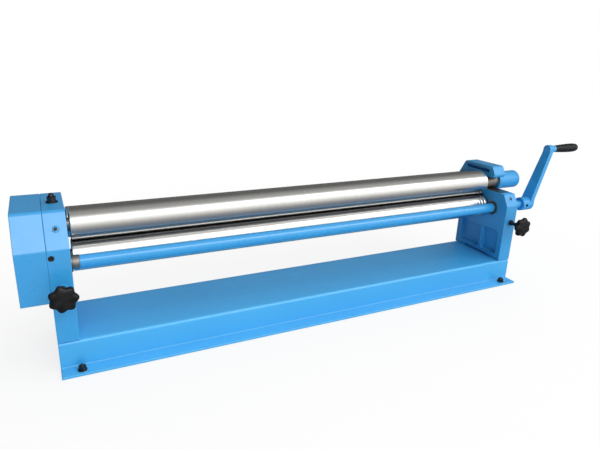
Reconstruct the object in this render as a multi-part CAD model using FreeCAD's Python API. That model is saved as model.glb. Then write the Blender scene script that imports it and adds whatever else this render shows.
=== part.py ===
import FreeCAD, Part
import math
import os

# Hand-cranked slip roll for sheet metal: two side frames on a folded base,
# a pinch pair of rolls, a bending roll behind them, and a gear train under a
# cover at the left end.  Millimetres.  X runs along the rolls (crank end at
# +X), Y to the rear, Z up; the origin is the centre of the base on the floor.
# "Setback" is a distance behind the front face of the side frames.

Vector = FreeCAD.Vector
AXIS_X = Vector(1, 0, 0)
AXIS_Y = Vector(0, 1, 0)
AXIS_Z = Vector(0, 0, 1)

# ---- driving dimensions ------------------------------------------------
between_frames = 1270.0       # clear width between the side frames
frame_thickness = 46.0
base_depth = 205.0            # deck, front to rear
deck_height = 70.0
base_sheet = 6.0
flange_width = 38.0
base_bend_radius = 8.0

roll_diameter = 76.0
pinch_gap = 1.0               # between the pinch rolls at rest
roll_setback = 115.0
lower_roll_height = 232.0
rear_roll_behind = 88.0       # rear roll behind the pinch rolls
rear_roll_drop = 23.0         # below the upper roll
roll_end_gap = 5.0            # rear and right roll ends to the side frame
geared_end_gap = 7.0          # lower roll body to the left frame
swing_end_gap = 8.0           # upper roll body to the left frame
journal_diameter = 30.0
pinion_seat_diameter = 25.0
shaft_end_diameter = 20.0

front_corner_drop = 19.0      # left frame: foot of the sloping front, below the upper roll
brow_setback = 43.0
brow_rise = 56.5              # above the upper roll
crown_overhang = 1.0          # behind the feet
crown_rise = 53.5
waist_drop = 43.5             # below the lower roll
rear_face_length = 87.0       # underside that carries the rear screws
rear_face_angle = 33.5        # degrees from level
lip_setback = 20.0            # right frame: lower lip of the roll slot
lip_corner_drop = 55.0        # below the upper roll
hook_brow_setback = 85.0
hook_tip_setback = 62.0

cover_depth = 62.0
cover_wall = 3.0
cover_bottom_drop = 62.0      # below the lower roll
cover_seam = 0.3

gear_module = 2.5
gear_teeth = 28
pinion_teeth = 16
gear_width = 30.0
gear_offset = 12.0            # frame's outer face to the gears
gear_backlash = 0.30
pressure_angle = 20.0

tube_diameter = 30.0
tube_bore = 23.0
drive_shaft_diameter = 25.0
crank_shaft_reach = 120.0     # beyond the right frame
crank_radius = 180.0
crank_lean = 56.0             # outward offset of the crank's top
grip_length = 106.0
grip_diameter = 28.5

front_screw_drop = 32.0       # below the lower roll
adjuster_inset = 22.0         # outer face of the frame to the adjusting screws
wedge_bore = 20.0
wedge_slope = 7.5             # travel for each unit of lift
wedge_travel = 15.0
rear_travel_down = 10.0
rear_travel_up = 20.0
knob_diameter = 62.0
knob_lobes = 7
knob_thickness = 22.0

nose_diameter = 39.9          # release sleeve's bearing nose
neck_diameter = 30.0
handle_diameter = 57.0
handle_length = 90.0

running_clearance = 0.05      # radial, shafts in bushes and blocks
seat_gap = 0.05               # between flat sliding faces
small_gap = 0.3

# ---- places worked out from the sizes ------------------------------------
front_y = -base_depth / 2
inner_left = -between_frames / 2
outer_left = inner_left - frame_thickness
inner_right = between_frames / 2
outer_right = inner_right + frame_thickness
middle_left = (inner_left + outer_left) / 2
middle_right = (inner_right + outer_right) / 2
roll_radius = roll_diameter / 2
journal_radius = journal_diameter / 2
upper_roll_height = lower_roll_height + roll_diameter + pinch_gap
rear_roll_setback = roll_setback + rear_roll_behind
rear_roll_height = upper_roll_height - rear_roll_drop
front_screw_height = lower_roll_height - front_screw_drop
front_corner_height = upper_roll_height - front_corner_drop
brow_height = upper_roll_height + brow_rise
crown_setback = base_depth + crown_overhang
crown_height = upper_roll_height + crown_rise
waist_setback = base_depth
waist_height = lower_roll_height - waist_drop
lip_corner_height = upper_roll_height - lip_corner_drop
cover_bottom_height = lower_roll_height - cover_bottom_drop
gear_radius = gear_module * gear_teeth / 2
pinion_radius = gear_module * pinion_teeth / 2
train_rise = (upper_roll_height - lower_roll_height - 2 * gear_radius) / 2
train_run = math.sqrt((gear_radius + pinion_radius) ** 2 - train_rise ** 2)
drive_setback = roll_setback - train_run
drive_height = lower_roll_height + train_rise
idler_height = drive_height + 2 * gear_radius
gear_inner = outer_left - gear_offset
gear_outer = gear_inner - gear_width
rear_point_setback = waist_setback + rear_face_length * math.cos(math.radians(rear_face_angle))
adjuster_left = outer_left + adjuster_inset
rear_point_height = waist_height + rear_face_length * math.sin(math.radians(rear_face_angle))


def y_of(setback):
    return front_y + setback


drive_y = y_of(drive_setback)
roll_y = y_of(roll_setback)
rear_roll_y = y_of(rear_roll_setback)
tilt = math.radians(rear_face_angle)
rear_up = Vector(0, -math.sin(tilt), math.cos(tilt))


# ---- shape helpers -----------------------------------------------------------
def box(x0, x1, y0, y1, z0, z1):
    return Part.makeBox(x1 - x0, y1 - y0, z1 - z0, Vector(x0, y0, z0))


def rod(start, axis, length, diameter):
    return Part.makeCylinder(diameter / 2, length, start, axis)


def rod_x(x0, x1, y, z, diameter):
    return rod(Vector(x0, y, z), AXIS_X, x1 - x0, diameter)


def rod_y(y0, y1, x, z, diameter):
    return rod(Vector(x, y0, z), AXIS_Y, y1 - y0, diameter)


def rod_z(z0, z1, x, y, diameter):
    return rod(Vector(x, y, z0), AXIS_Z, z1 - z0, diameter)


def join(pieces):
    result = pieces[0]
    for piece in pieces[1:]:
        result = result.fuse(piece)
    return result.removeSplitter()


def cut(body, tools):
    for tool in tools:
        body = body.cut(tool)
    return body


def rounded_wire(corners):
    """Closed wire through (point, radius) corners, each corner a tangent arc."""
    edges = []
    ends = []
    count = len(corners)
    for i in range(count):
        point, radius = corners[i]
        to_last = (corners[i - 1][0] - point).normalize()
        to_next = (corners[(i + 1) % count][0] - point).normalize()
        if radius <= 0:
            ends.append((point, point, None))
            continue
        half = to_last.getAngle(to_next) / 2
        run = radius / math.tan(half)
        bisector = (to_last + to_next).normalize()
        centre = point + bisector * (radius / math.sin(half))
        ends.append((point + to_last * run, point + to_next * run, centre - bisector * radius))
    for i in range(count):
        start, finish, middle = ends[i]
        if middle is not None:
            edges.append(Part.Arc(start, middle, finish).toShape())
        following = ends[(i + 1) % count][0]
        if (following - finish).Length > 1e-6:
            edges.append(Part.LineSegment(finish, following).toShape())
    return Part.Wire(edges)


def plate_x(outline, x0, x1):
    """Plate across X from (setback, height, corner radius) points."""
    corners = [(Vector(x0, y_of(v), z), r) for v, z, r in outline]
    return Part.Face(rounded_wire(corners)).extrude(Vector(x1 - x0, 0, 0))


def obround(centre, along, half_length, half_width, normal, depth):
    """Slot with two round ends, extruded along normal."""
    across = normal.cross(along)
    a = centre + along * half_length
    b = centre - along * half_length
    edges = [
        Part.Arc(a + across * half_width, a + along * half_width, a - across * half_width).toShape(),
        Part.LineSegment(a - across * half_width, b - across * half_width).toShape(),
        Part.Arc(b - across * half_width, b - along * half_width, b + across * half_width).toShape(),
        Part.LineSegment(b + across * half_width, a + across * half_width).toShape(),
    ]
    return Part.Face(Part.Wire(edges)).extrude(normal * depth)


def arched(centre, up, half_width, drop, normal, depth):
    """Block with a round top about centre and a flat foot at drop below it."""
    across = normal.cross(up)
    right = centre + across * half_width
    left = centre - across * half_width
    edges = [
        Part.Arc(left, centre + up * half_width, right).toShape(),
        Part.LineSegment(right, right - up * drop).toShape(),
        Part.LineSegment(right - up * drop, left - up * drop).toShape(),
        Part.LineSegment(left - up * drop, left).toShape(),
    ]
    return Part.Face(Part.Wire(edges)).extrude(normal * depth)


def turned(profile, start, axis):
    """Solid of revolution from (distance along axis, radius) points."""
    points = [Vector(distance, 0, radius) for distance, radius in profile]
    points = [Vector(profile[0][0], 0, 0)] + points + [Vector(profile[-1][0], 0, 0)]
    wire = Part.makePolygon(points + [points[0]])
    solid = Part.Face(wire).revolve(Vector(0, 0, 0), AXIS_X, 360)
    solid.Placement = FreeCAD.Placement(start, FreeCAD.Rotation(AXIS_X, axis))
    return solid


def hexagon(start, axis, across_flats, length):
    """Hexagonal prism for bolt heads and nuts."""
    radius = across_flats / math.sqrt(3)
    corners = []
    for i in range(6):
        angle = math.radians(60 * i)
        corners.append(Vector(0, radius * math.cos(angle), radius * math.sin(angle)))
    prism = Part.Face(Part.makePolygon(corners + [corners[0]])).extrude(Vector(length, 0, 0))
    prism.Placement = FreeCAD.Placement(start, FreeCAD.Rotation(AXIS_X, axis))
    return prism


def ring_x(x0, x1, y, z, outside, inside):
    return rod_x(x0, x1, y, z, outside).cut(rod_x(x0 - 1, x1 + 1, y, z, inside))


def both_ends(make):
    """The same piece at the left frame and, mirrored, at the right frame."""
    left = make()
    right = left.mirror(Vector(0, 0, 0), AXIS_X)
    return left, right


# ---- base ----------------------------------------------------------------------
base_half_length = outer_right
mount_hole_diameter = 18.0
mount_hole_inset = 44.0
mount_hole_offset = 20.0      # from the web to the hole, along the flange
hold_down_diameter = 12.0
hold_down_inset = 22.0        # from the front and rear faces of the frames
hold_down_setbacks = (hold_down_inset, base_depth - hold_down_inset)


def base_channel():
    web = base_depth / 2
    edge = web + flange_width
    top = deck_height
    sheet = base_sheet
    bend = base_bend_radius
    inside_bend = bend - sheet
    half = [
        (edge, 0, 0), (edge, sheet, 1), (web, sheet, inside_bend + 1), (web, top, bend),
    ]
    under = [(web - sheet, top - sheet, inside_bend), (web - sheet, 0, bend)]
    outline = [(-y, z, r) for y, z, r in half] + half[::-1]
    outline += under[::-1] + [(-y, z, r) for y, z, r in under]
    corners = [(Vector(-base_half_length, y, z), r) for y, z, r in outline]
    channel = Part.Face(rounded_wire(corners)).extrude(Vector(2 * base_half_length, 0, 0))
    holes = []
    for x in (-base_half_length + mount_hole_inset, base_half_length - mount_hole_inset):
        for y in (-web - mount_hole_offset, web + mount_hole_offset):
            holes.append(rod_z(-1, sheet + 1, x, y, mount_hole_diameter))
    for x in (middle_left, middle_right):
        for setback in hold_down_setbacks:
            holes.append(rod_z(top - sheet - 1, top + 1, x, y_of(setback),
                               hold_down_diameter + 2 * running_clearance))
    return cut(channel, holes)


hold_down_depth = 30.0
hold_down_head = 8.0
hold_down_washer = 2.5


def hold_down_bolts():
    bolts = []
    under = deck_height - base_sheet
    for x in (middle_left, middle_right):
        for setback in hold_down_setbacks:
            y = y_of(setback)
            shank = rod_z(under - hold_down_washer, deck_height + hold_down_depth, x, y, hold_down_diameter)
            washer = rod_z(under - hold_down_washer, under, x, y, 2 * hold_down_diameter)
            head_start = Vector(x, y, under - hold_down_washer)
            head = hexagon(head_start, Vector(0, 0, -1), 1.5 * hold_down_diameter, hold_down_head)
            bolts.append(join([shank, washer, head]))
    return Part.makeCompound(bolts)


# ---- side frames --------------------------------------------------------------
inner_web = 8.0               # wall left between the bearing pockets and the rolls
bearing_half_width = 26.0
lower_block_drop = 21.5
pocket_bottom_gap = 2.4
foot_drop = 4.0                # wedge face below the lower block
upper_window_half_width = 30.0
upper_block_half_height = 32.0
upper_window_gap = 2.0
rear_half_width = 25.0
rear_block_drop = 26.0
screw_diameter = 16.0
front_screw_diameter = 8.0
front_bore_depth = 168.0
foot_width = 12.0             # tongue of the lower block that stands on the wedge
foot_half_length = 20.0
drive_bush_diameter = 36.0
idler_stud_diameter = 16.0
idler_stud_depth = 28.0
hole_bottom_gap = 2.0
panel_depth = 12.0
panel_low = deck_height + 18.0
panel_below_screw = 34.0
panel_high = front_screw_height - panel_below_screw
panel_rib = 12.0
panel_edge = 20.0             # frame's front and rear faces to the panels
panel_rib_setback = 92.0
panel_corner = 8.0
foot_relief = 6.0
foot_length = 45.0


def bearing_pockets(frame_inner, outward):
    """Cuts for the lower and rear bearings; outward is +1 or -1 along X."""
    pocket_start = frame_inner + outward * inner_web
    pocket_depth = frame_thickness - inner_web + 1
    normal = AXIS_X * outward
    lower_centre = Vector(pocket_start, roll_y, lower_roll_height)
    lower_drop = lower_block_drop + pocket_bottom_gap
    lower = arched(lower_centre, AXIS_Z, bearing_half_width, lower_drop, normal, pocket_depth)
    screw_x = frame_inner + outward * (frame_thickness - adjuster_inset)
    foot_half = foot_width / 2 + small_gap
    foot_reach = foot_half_length + small_gap
    foot = box(screw_x - foot_half, screw_x + foot_half, roll_y - foot_reach, roll_y + foot_reach,
               front_screw_height, lower_roll_height)
    web_start = Vector(frame_inner - outward, roll_y, lower_roll_height - wedge_travel / wedge_slope / 2)
    web_half_length = wedge_travel / wedge_slope / 2
    journal_room = journal_radius + 3
    lower_web = obround(web_start, AXIS_Z, web_half_length, journal_room, normal, inner_web + 2)
    bore = rod_y(y_of(-1), y_of(front_bore_depth), screw_x, front_screw_height, wedge_bore)
    middle_travel = (rear_travel_up - rear_travel_down) / 2
    half_travel = (rear_travel_up + rear_travel_down) / 2
    rear_centre = Vector(pocket_start, rear_roll_y, rear_roll_height) + rear_up * rear_travel_up
    rear_drop = rear_travel_up + rear_travel_down + rear_block_drop + small_gap
    rear = arched(rear_centre, rear_up, rear_half_width, rear_drop, normal, pocket_depth)
    rear_web_centre = Vector(frame_inner - outward, rear_roll_y, rear_roll_height) + rear_up * middle_travel
    rear_web = obround(rear_web_centre, rear_up, half_travel, journal_room, normal, inner_web + 2)
    screw_start = Vector(screw_x, rear_roll_y, rear_roll_height)
    rear_screw = rod(screw_start, rear_up * -1, 2 * rear_face_length,
                     screw_diameter + 2 * running_clearance)
    drive = rod_x(-1 + min(frame_inner, frame_inner + outward * frame_thickness),
                  1 + max(frame_inner, frame_inner + outward * frame_thickness),
                  drive_y, drive_height, drive_bush_diameter)
    return [lower, foot, lower_web, bore, rear, rear_web, rear_screw, drive]


def foot_cuts(frame_inner, outward):
    """Relief between the feet, hold-down holes and the two cast panels."""
    x0, x1 = sorted((frame_inner, frame_inner + outward * frame_thickness))
    front, rear = foot_length, base_depth - foot_length
    relief_top = deck_height + foot_relief
    relief_outline = [(front, deck_height - 1, 0), (front, relief_top, 4), (rear, relief_top, 4),
                      (rear, deck_height - 1, 0)]
    cuts = [plate_x(relief_outline, x0 - 1, x1 + 1)]
    for setback in hold_down_setbacks:
        cuts.append(rod_z(deck_height - 1, deck_height + hold_down_depth + 2, (x0 + x1) / 2,
                          y_of(setback), hold_down_diameter + 2 * running_clearance))
    panel_x = sorted((frame_inner - outward, frame_inner + outward * panel_depth))
    panels = ((panel_edge, panel_rib_setback - panel_rib / 2),
              (panel_rib_setback + panel_rib / 2, base_depth - panel_edge))
    for front, rear in panels:
        outline = [(front, panel_low, panel_corner), (front, panel_high, panel_corner),
                   (rear, panel_high, panel_corner), (rear, panel_low, panel_corner)]
        cuts.append(plate_x(outline, panel_x[0], panel_x[1]))
    return cuts


cover_tab_thickness = 3.0
cover_tab_depth = 16.0
cover_tab_width = 22.0
cover_screw_diameter = 8.0
cover_screw_head = 13.0
cover_screw_reach = 14.0
cover_front_tab_height = front_corner_height - 17.0
cover_rear_tab_height = waist_height - 8.5
cover_tab_setback = 8.0


def cover_tab_places():
    """(height, setback of the tab's middle, direction its screw comes from)."""
    return [(cover_front_tab_height, cover_tab_setback, -1),
            (cover_rear_tab_height, waist_setback - cover_tab_setback, 1)]


def cover_screw(height, setback, side):
    """Socket screw through the frame's edge into the cover's tab."""
    x = outer_left + cover_tab_depth / 2
    face = 0 if side < 0 else waist_setback
    start = Vector(x, y_of(face), height)
    inward = AXIS_Y * -side
    head = rod(start + inward * 0.5, inward, 4, cover_screw_head - 2 * running_clearance)
    shank = rod(start + inward * 0.5, inward, cover_screw_reach, cover_screw_diameter)
    socket = hexagon(start - inward * 0.5, inward, 6, 3.5)
    return head.fuse(shank).cut(socket)


def cover_fixing_cuts():
    cuts = []
    x = outer_left + cover_tab_depth / 2
    for height, setback, side in cover_tab_places():
        half = cover_tab_thickness / 2 + small_gap
        y = y_of(setback)
        cuts.append(box(outer_left - 1, outer_left + cover_tab_depth + small_gap, y - half, y + half,
                        height - cover_tab_width / 2 - small_gap, height + cover_tab_width / 2 + small_gap))
        face = 0 if side < 0 else waist_setback
        inward = AXIS_Y * -side
        start = Vector(x, y_of(face), height) - inward
        cuts.append(rod(start, inward, 5.5, cover_screw_head))
        cuts.append(rod(start, inward, cover_screw_reach + 2, cover_screw_diameter + 2 * running_clearance))
    return cuts


def rear_outline():
    """Corners shared by both frames and the cover, from crown to waist."""
    return [(crown_setback, crown_height, 10), (rear_point_setback, rear_point_height, 12),
            (waist_setback, waist_height, 12)]


def left_outline(bottom):
    front = [(0, bottom, 0), (0, front_corner_height, 10), (brow_setback, brow_height, 10)]
    return front + rear_outline() + [(waist_setback, bottom, 0)]


pivot_bolt_diameter = 12.0
pivot_tip_diameter = 9.0
oil_cup_diameter = 13.0
oil_cup_depth = 5.0
oil_mouth_diameter = 8.0
oil_mouth_depth = 2.0


def oil_place(x, corner_height, slope_run, slope_rise, share):
    """Point and outward normal on the sloping front of a frame."""
    run = Vector(0, slope_run, slope_rise)
    point = Vector(x, y_of(0), corner_height) + run * share
    return point, Vector(0, -run.z, run.y).normalize()


def left_oil_place():
    rise = brow_height - front_corner_height
    return oil_place(middle_left, front_corner_height, brow_setback, rise, 0.53)


def right_oil_place():
    rise = upper_roll_height - slot_half_height - lip_corner_height
    return oil_place(middle_right, lip_corner_height, lip_setback, rise, 0.6)


def oil_cup_hole(place):
    point, normal = place
    return rod(point + normal, normal * -1, oil_cup_depth + 1, oil_cup_diameter)


def left_frame():
    frame = plate_x(left_outline(deck_height), outer_left, inner_left)
    cuts = bearing_pockets(inner_left, -1) + foot_cuts(inner_left, -1) + cover_fixing_cuts()
    window_half_height = upper_block_half_height + upper_window_gap
    cuts.append(box(outer_left - 1, inner_left + 1,
                    roll_y - upper_window_half_width, roll_y + upper_window_half_width,
                    upper_roll_height - upper_block_half_height - seat_gap,
                    upper_roll_height + window_half_height))
    cuts.append(rod_x(outer_left - 1, outer_left + idler_stud_depth + hole_bottom_gap, drive_y,
                      idler_height, idler_stud_diameter))
    seat = pivot_seat_height()
    cuts.append(rod_z(upper_roll_height, seat + 1, middle_left, roll_y, pivot_bolt_diameter))
    cuts.append(rod_z(seat, seat + pivot_seat_diameter, middle_left, roll_y, pivot_seat_diameter))
    window_floor = upper_roll_height - upper_block_half_height
    cuts.append(rod_z(window_floor - pivot_pin_length / 2, window_floor + 1, middle_left, roll_y,
                      pivot_tip_diameter))
    cuts.append(oil_cup_hole(left_oil_place()))
    return cut(frame, cuts)


pivot_pin_length = 20.0
slot_half_height = nose_diameter / 2 + running_clearance
hook_recess_depth = 14.0
hook_rim = 9.0
hook_lower_rim = 14.0


def right_outline():
    slot_low = upper_roll_height - slot_half_height
    slot_high = upper_roll_height + slot_half_height
    seat_rear = roll_setback + slot_half_height
    front = [(0, deck_height, 0), (0, lip_corner_height, 10), (lip_setback, slot_low, 4),
             (seat_rear, slot_low, slot_half_height)]
    back = [(seat_rear, slot_high, slot_half_height), (hook_tip_setback, slot_high, 10),
            (hook_brow_setback, brow_height, 10)]
    return front + back + rear_outline() + [(waist_setback, deck_height, 0)]


def right_frame():
    frame = plate_x(right_outline(), inner_right, outer_right)
    cuts = bearing_pockets(inner_right, 1) + foot_cuts(inner_right, 1)
    low = upper_roll_height + slot_half_height + hook_lower_rim
    high = crown_height - hook_rim
    hook_recess = [(hook_brow_setback + hook_rim, low, 4), (hook_brow_setback + hook_rim + 4, high, 4),
                   (crown_setback - hook_rim, high, 4), (crown_setback - 2, low, 3)]
    cuts.append(plate_x(hook_recess, inner_right - 1, inner_right + hook_recess_depth))
    cuts.append(oil_cup_hole(right_oil_place()))
    return cut(frame, cuts)


def oil_cups():
    cups = []
    for point, normal in (left_oil_place(), right_oil_place()):
        rim = oil_cup_depth + 1
        profile = [(0, oil_cup_diameter / 2), (oil_cup_depth, oil_cup_diameter / 2),
                   (rim, oil_cup_diameter / 2 - 1.2), (rim, oil_mouth_diameter / 2),
                   (rim - oil_mouth_depth, oil_mouth_diameter / 2 - 1)]
        cups.append(turned(profile, point - normal * oil_cup_depth, normal))
    return Part.makeCompound(cups)


# ---- gear cover ------------------------------------------------------------------
def gear_cover():
    outer_x = outer_left - cover_depth
    inner_x = outer_left - cover_seam
    shell = plate_x(left_outline(cover_bottom_height), outer_x, inner_x)
    wall = cover_wall
    outline = left_outline(cover_bottom_height)
    wire_corners = [(Vector(outer_x + wall, y_of(v), z), r) for v, z, r in outline]
    inside_face = Part.Face(rounded_wire(wire_corners)).makeOffset2D(-wall)
    hollow = inside_face.extrude(Vector(cover_depth, 0, 0))
    pieces = [shell.cut(hollow)]
    for height, setback, side in cover_tab_places():
        y = y_of(setback)
        half = cover_tab_thickness / 2
        low = height - cover_tab_width / 2
        high = height + cover_tab_width / 2
        wall_y = y_of(0 if side < 0 else waist_setback)
        web_front, web_rear = sorted((y - half * side, wall_y))
        tab = box(inner_x - 12, outer_left + cover_tab_depth, y - half, y + half, low, high)
        web = box(inner_x - 12, inner_x, web_front, web_rear, low, high)
        hole = rod_y(y - 2 * cover_tab_thickness, y + 2 * cover_tab_thickness,
                     outer_left + cover_tab_depth / 2, height,
                     cover_screw_diameter + 2 * running_clearance)
        pieces.append(tab.cut(hole))
        pieces.append(web)
    return join(pieces)


def cover_screws():
    return Part.makeCompound([cover_screw(h, v, side) for h, v, side in cover_tab_places()])


# ---- gears ------------------------------------------------------------------------
def gear_blank(teeth, phase, x0, x1, y, z):
    """Spur gear with involute flanks; a tooth is centred at angle phase."""
    pitch_radius = gear_module * teeth / 2
    base_radius = pitch_radius * math.cos(math.radians(pressure_angle))
    tip_radius = pitch_radius + gear_module
    root_radius = pitch_radius - 1.25 * gear_module
    thickness = math.pi * gear_module / 2 - gear_backlash / 2
    flank_roll = math.tan(math.radians(pressure_angle)) - math.radians(pressure_angle)
    half_angle_at_pitch = thickness / 2 / pitch_radius

    def half_angle(radius):
        if radius < base_radius:
            return half_angle_at_pitch + flank_roll
        angle = math.acos(base_radius / radius)
        return half_angle_at_pitch + flank_roll - (math.tan(angle) - angle)

    def at(radius, angle):
        return Vector(x0, y + radius * math.cos(angle), z + radius * math.sin(angle))

    flank_start = max(base_radius, root_radius)
    mid_radius = (flank_start + tip_radius) / 2
    edges = []
    pitch_angle = 2 * math.pi / teeth
    for tooth in range(teeth):
        centre = phase + tooth * pitch_angle
        low = half_angle(flank_start)
        up = [at(root_radius, centre - low), at(flank_start, centre - low),
              at(mid_radius, centre - half_angle(mid_radius)),
              at(tip_radius, centre - half_angle(tip_radius))]
        down = [at(tip_radius, centre + half_angle(tip_radius)),
                at(mid_radius, centre + half_angle(mid_radius)),
                at(flank_start, centre + low), at(root_radius, centre + low)]
        if flank_start > root_radius + 1e-6:
            edges.append(Part.LineSegment(up[0], up[1]).toShape())
        edges.append(Part.Arc(up[1], up[2], up[3]).toShape())
        edges.append(Part.LineSegment(up[3], down[0]).toShape())
        edges.append(Part.Arc(down[0], down[1], down[2]).toShape())
        if flank_start > root_radius + 1e-6:
            edges.append(Part.LineSegment(down[2], down[3]).toShape())
        next_root = at(root_radius, centre + pitch_angle - low)
        edges.append(Part.LineSegment(down[3], next_root).toShape())
    return Part.Face(Part.Wire(edges)).extrude(Vector(x1 - x0, 0, 0))


drive_to_pinion = math.atan2(-train_rise, train_run)
gear_pitch_angle = 2 * math.pi / gear_teeth
pinion_pitch_angle = 2 * math.pi / pinion_teeth
drive_phase = drive_to_pinion
lower_pinion_phase = drive_to_pinion + math.pi + pinion_pitch_angle / 2
tooth_before_top = (math.pi / 2 - drive_phase) % gear_pitch_angle
idler_phase = 1.5 * math.pi + tooth_before_top + gear_pitch_angle / 2
upper_pinion_phase = math.pi - drive_to_pinion
gear_hub_diameter = 40.0
stud_sleeve_diameter = 20.0
idler_bush_wall = 4.0


def drive_gear():
    blank = gear_blank(gear_teeth, drive_phase, gear_outer, gear_inner, drive_y, drive_height)
    hub = rod_x(gear_inner - 1, gear_inner + gear_offset - 3, drive_y, drive_height, gear_hub_diameter)
    bore = rod_x(gear_outer - 1, gear_inner + gear_offset, drive_y, drive_height,
                 pinion_seat_diameter + 2 * running_clearance)
    face = ring_x(gear_outer - 1, gear_outer + 2, drive_y, drive_height,
                  2 * gear_radius - 14, gear_hub_diameter)
    return blank.fuse(hub).cut(bore).cut(face)


def idler_gear():
    blank = gear_blank(gear_teeth, idler_phase, gear_outer, gear_inner, drive_y, idler_height)
    outside = stud_sleeve_diameter + 2 * idler_bush_wall
    bore = rod_x(gear_outer - 1, gear_inner + 1, drive_y, idler_height, outside + 2 * running_clearance)
    face = ring_x(gear_outer - 1, gear_outer + 7, drive_y, idler_height,
                  2 * gear_radius - 16, gear_hub_diameter)
    return blank.cut(bore).cut(face)


def pinion(phase, height):
    blank = gear_blank(pinion_teeth, phase, gear_outer, gear_inner, roll_y, height)
    bore = rod_x(gear_outer - 1, gear_inner + 1, roll_y, height,
                 pinion_seat_diameter + 2 * running_clearance)
    return blank.cut(bore)


def shaft_nut(y, height):
    """Thin nut and washer that hold a gear on its shaft end."""
    washer = ring_x(gear_outer - 2.5, gear_outer, y, height, pinion_seat_diameter + 8,
                    shaft_end_diameter + 2 * running_clearance)
    nut = hexagon(Vector(gear_outer - 2.5, y, height), AXIS_X * -1, 28, 5)
    nut = nut.cut(rod_x(gear_outer - 10, gear_outer, y, height,
                        shaft_end_diameter + 2 * running_clearance))
    return washer.fuse(nut)


def idler_stud():
    shank = rod_x(gear_inner + 1.5, outer_left + idler_stud_depth, drive_y, idler_height,
                  idler_stud_diameter - 2 * running_clearance)
    collar = rod_x(gear_inner, outer_left, drive_y, idler_height, stud_sleeve_diameter + 10)
    sleeve = rod_x(gear_outer - 5, gear_inner + 1, drive_y, idler_height, stud_sleeve_diameter)
    groove = ring_x(gear_outer - 3.5, gear_outer - 2, drive_y, idler_height,
                    stud_sleeve_diameter + 2, stud_sleeve_diameter - 2)
    return join([shank, collar, sleeve]).cut(groove)


def idler_bush():
    outside = stud_sleeve_diameter + 2 * idler_bush_wall
    return ring_x(gear_outer + 0.2, gear_inner - 0.2, drive_y, idler_height, outside,
                  stud_sleeve_diameter + 2 * running_clearance)


def idler_ring():
    """Washer and spring ring on the end of the stud."""
    washer = ring_x(gear_outer - 1.95, gear_outer - small_gap, drive_y, idler_height,
                    stud_sleeve_diameter + 14, stud_sleeve_diameter + 2 * running_clearance)
    ring = ring_x(gear_outer - 3.4, gear_outer - 2.1, drive_y, idler_height,
                  stud_sleeve_diameter + 5, stud_sleeve_diameter - 1.9)
    gap = box(gear_outer - 4, gear_outer - 2, drive_y - 3, drive_y + 3, idler_height, idler_height + 20)
    return Part.makeCompound([washer, ring.cut(gap)])


# ---- rolls ---------------------------------------------------------------------------
wire_groove_radii = (2.5, 3.5, 4.5)
wire_groove_spacing = 12.0
wire_groove_inset = 7.0
roll_edge = 1.5
groove_sides = 6


def groove_profile(x, radius):
    """Half-round groove as points along a roll's surface, left to right."""
    points = []
    for step in range(groove_sides + 1):
        angle = math.pi * step / groove_sides
        points.append((x - radius * math.cos(angle), roll_radius - radius * math.sin(angle)))
    return points


def grooved_body(x0, x1):
    profile = [(x0, roll_radius - roll_edge), (x0 + roll_edge, roll_radius)]
    count = len(wire_groove_radii)
    for i, radius in enumerate(wire_groove_radii):
        profile += groove_profile(x1 - wire_groove_inset - wire_groove_spacing * (count - 1 - i), radius)
    return profile + [(x1 - roll_edge, roll_radius), (x1, roll_radius - roll_edge)]


def geared_end():
    """Left journal, pinion seat and threaded end shared by the pinch rolls."""
    block_face = gear_inner
    return [(gear_outer - 10, shaft_end_diameter / 2 - 1), (gear_outer - 9, shaft_end_diameter / 2),
            (gear_outer, shaft_end_diameter / 2), (gear_outer, pinion_seat_diameter / 2),
            (block_face, pinion_seat_diameter / 2), (block_face, journal_radius)]


def lower_roll():
    x0 = inner_left + geared_end_gap
    x1 = inner_right - roll_end_gap
    profile = geared_end() + [(x0, journal_radius)] + grooved_body(x0, x1)
    profile += [(x1, journal_radius), (outer_right - 5, journal_radius),
                (outer_right - 4, journal_radius - 1)]
    return turned(profile, Vector(0, roll_y, lower_roll_height), AXIS_X)


def rear_roll():
    x0 = inner_left + roll_end_gap
    x1 = inner_right - roll_end_gap
    profile = [(outer_left + 4, journal_radius - 1), (outer_left + 5, journal_radius), (x0, journal_radius)]
    profile += grooved_body(x0, x1)
    profile += [(x1, journal_radius), (outer_right - 5, journal_radius),
                (outer_right - 4, journal_radius - 1)]
    return turned(profile, Vector(0, rear_roll_y, rear_roll_height), AXIS_X)


shoulder_diameter = 52.0
shoulder_length = 12.0
nose_start = inner_right + 1.0
neck_end_gap = 8.0
sleeve_end = outer_right + 1.0 + handle_length
handle_cap = 4.0


def upper_roll():
    x0 = inner_left + swing_end_gap
    x1 = nose_start - 4.0 - shoulder_length
    profile = geared_end() + [(x0, journal_radius), (x0, roll_radius - roll_edge),
                              (x0 + roll_edge, roll_radius), (x1 - roll_edge, roll_radius),
                              (x1, roll_radius - roll_edge)]
    neck_end = sleeve_end - handle_cap - neck_end_gap
    x2 = x1 + shoulder_length
    profile += [(x1, shoulder_diameter / 2), (x2 - 1, shoulder_diameter / 2), (x2, shoulder_diameter / 2 - 1),
                (x2, neck_diameter / 2), (neck_end - 1.5, neck_diameter / 2),
                (neck_end, neck_diameter / 2 - 1.5)]
    return turned(profile, Vector(0, roll_y, upper_roll_height), AXIS_X)


sleeve_wall = 4.0


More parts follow.
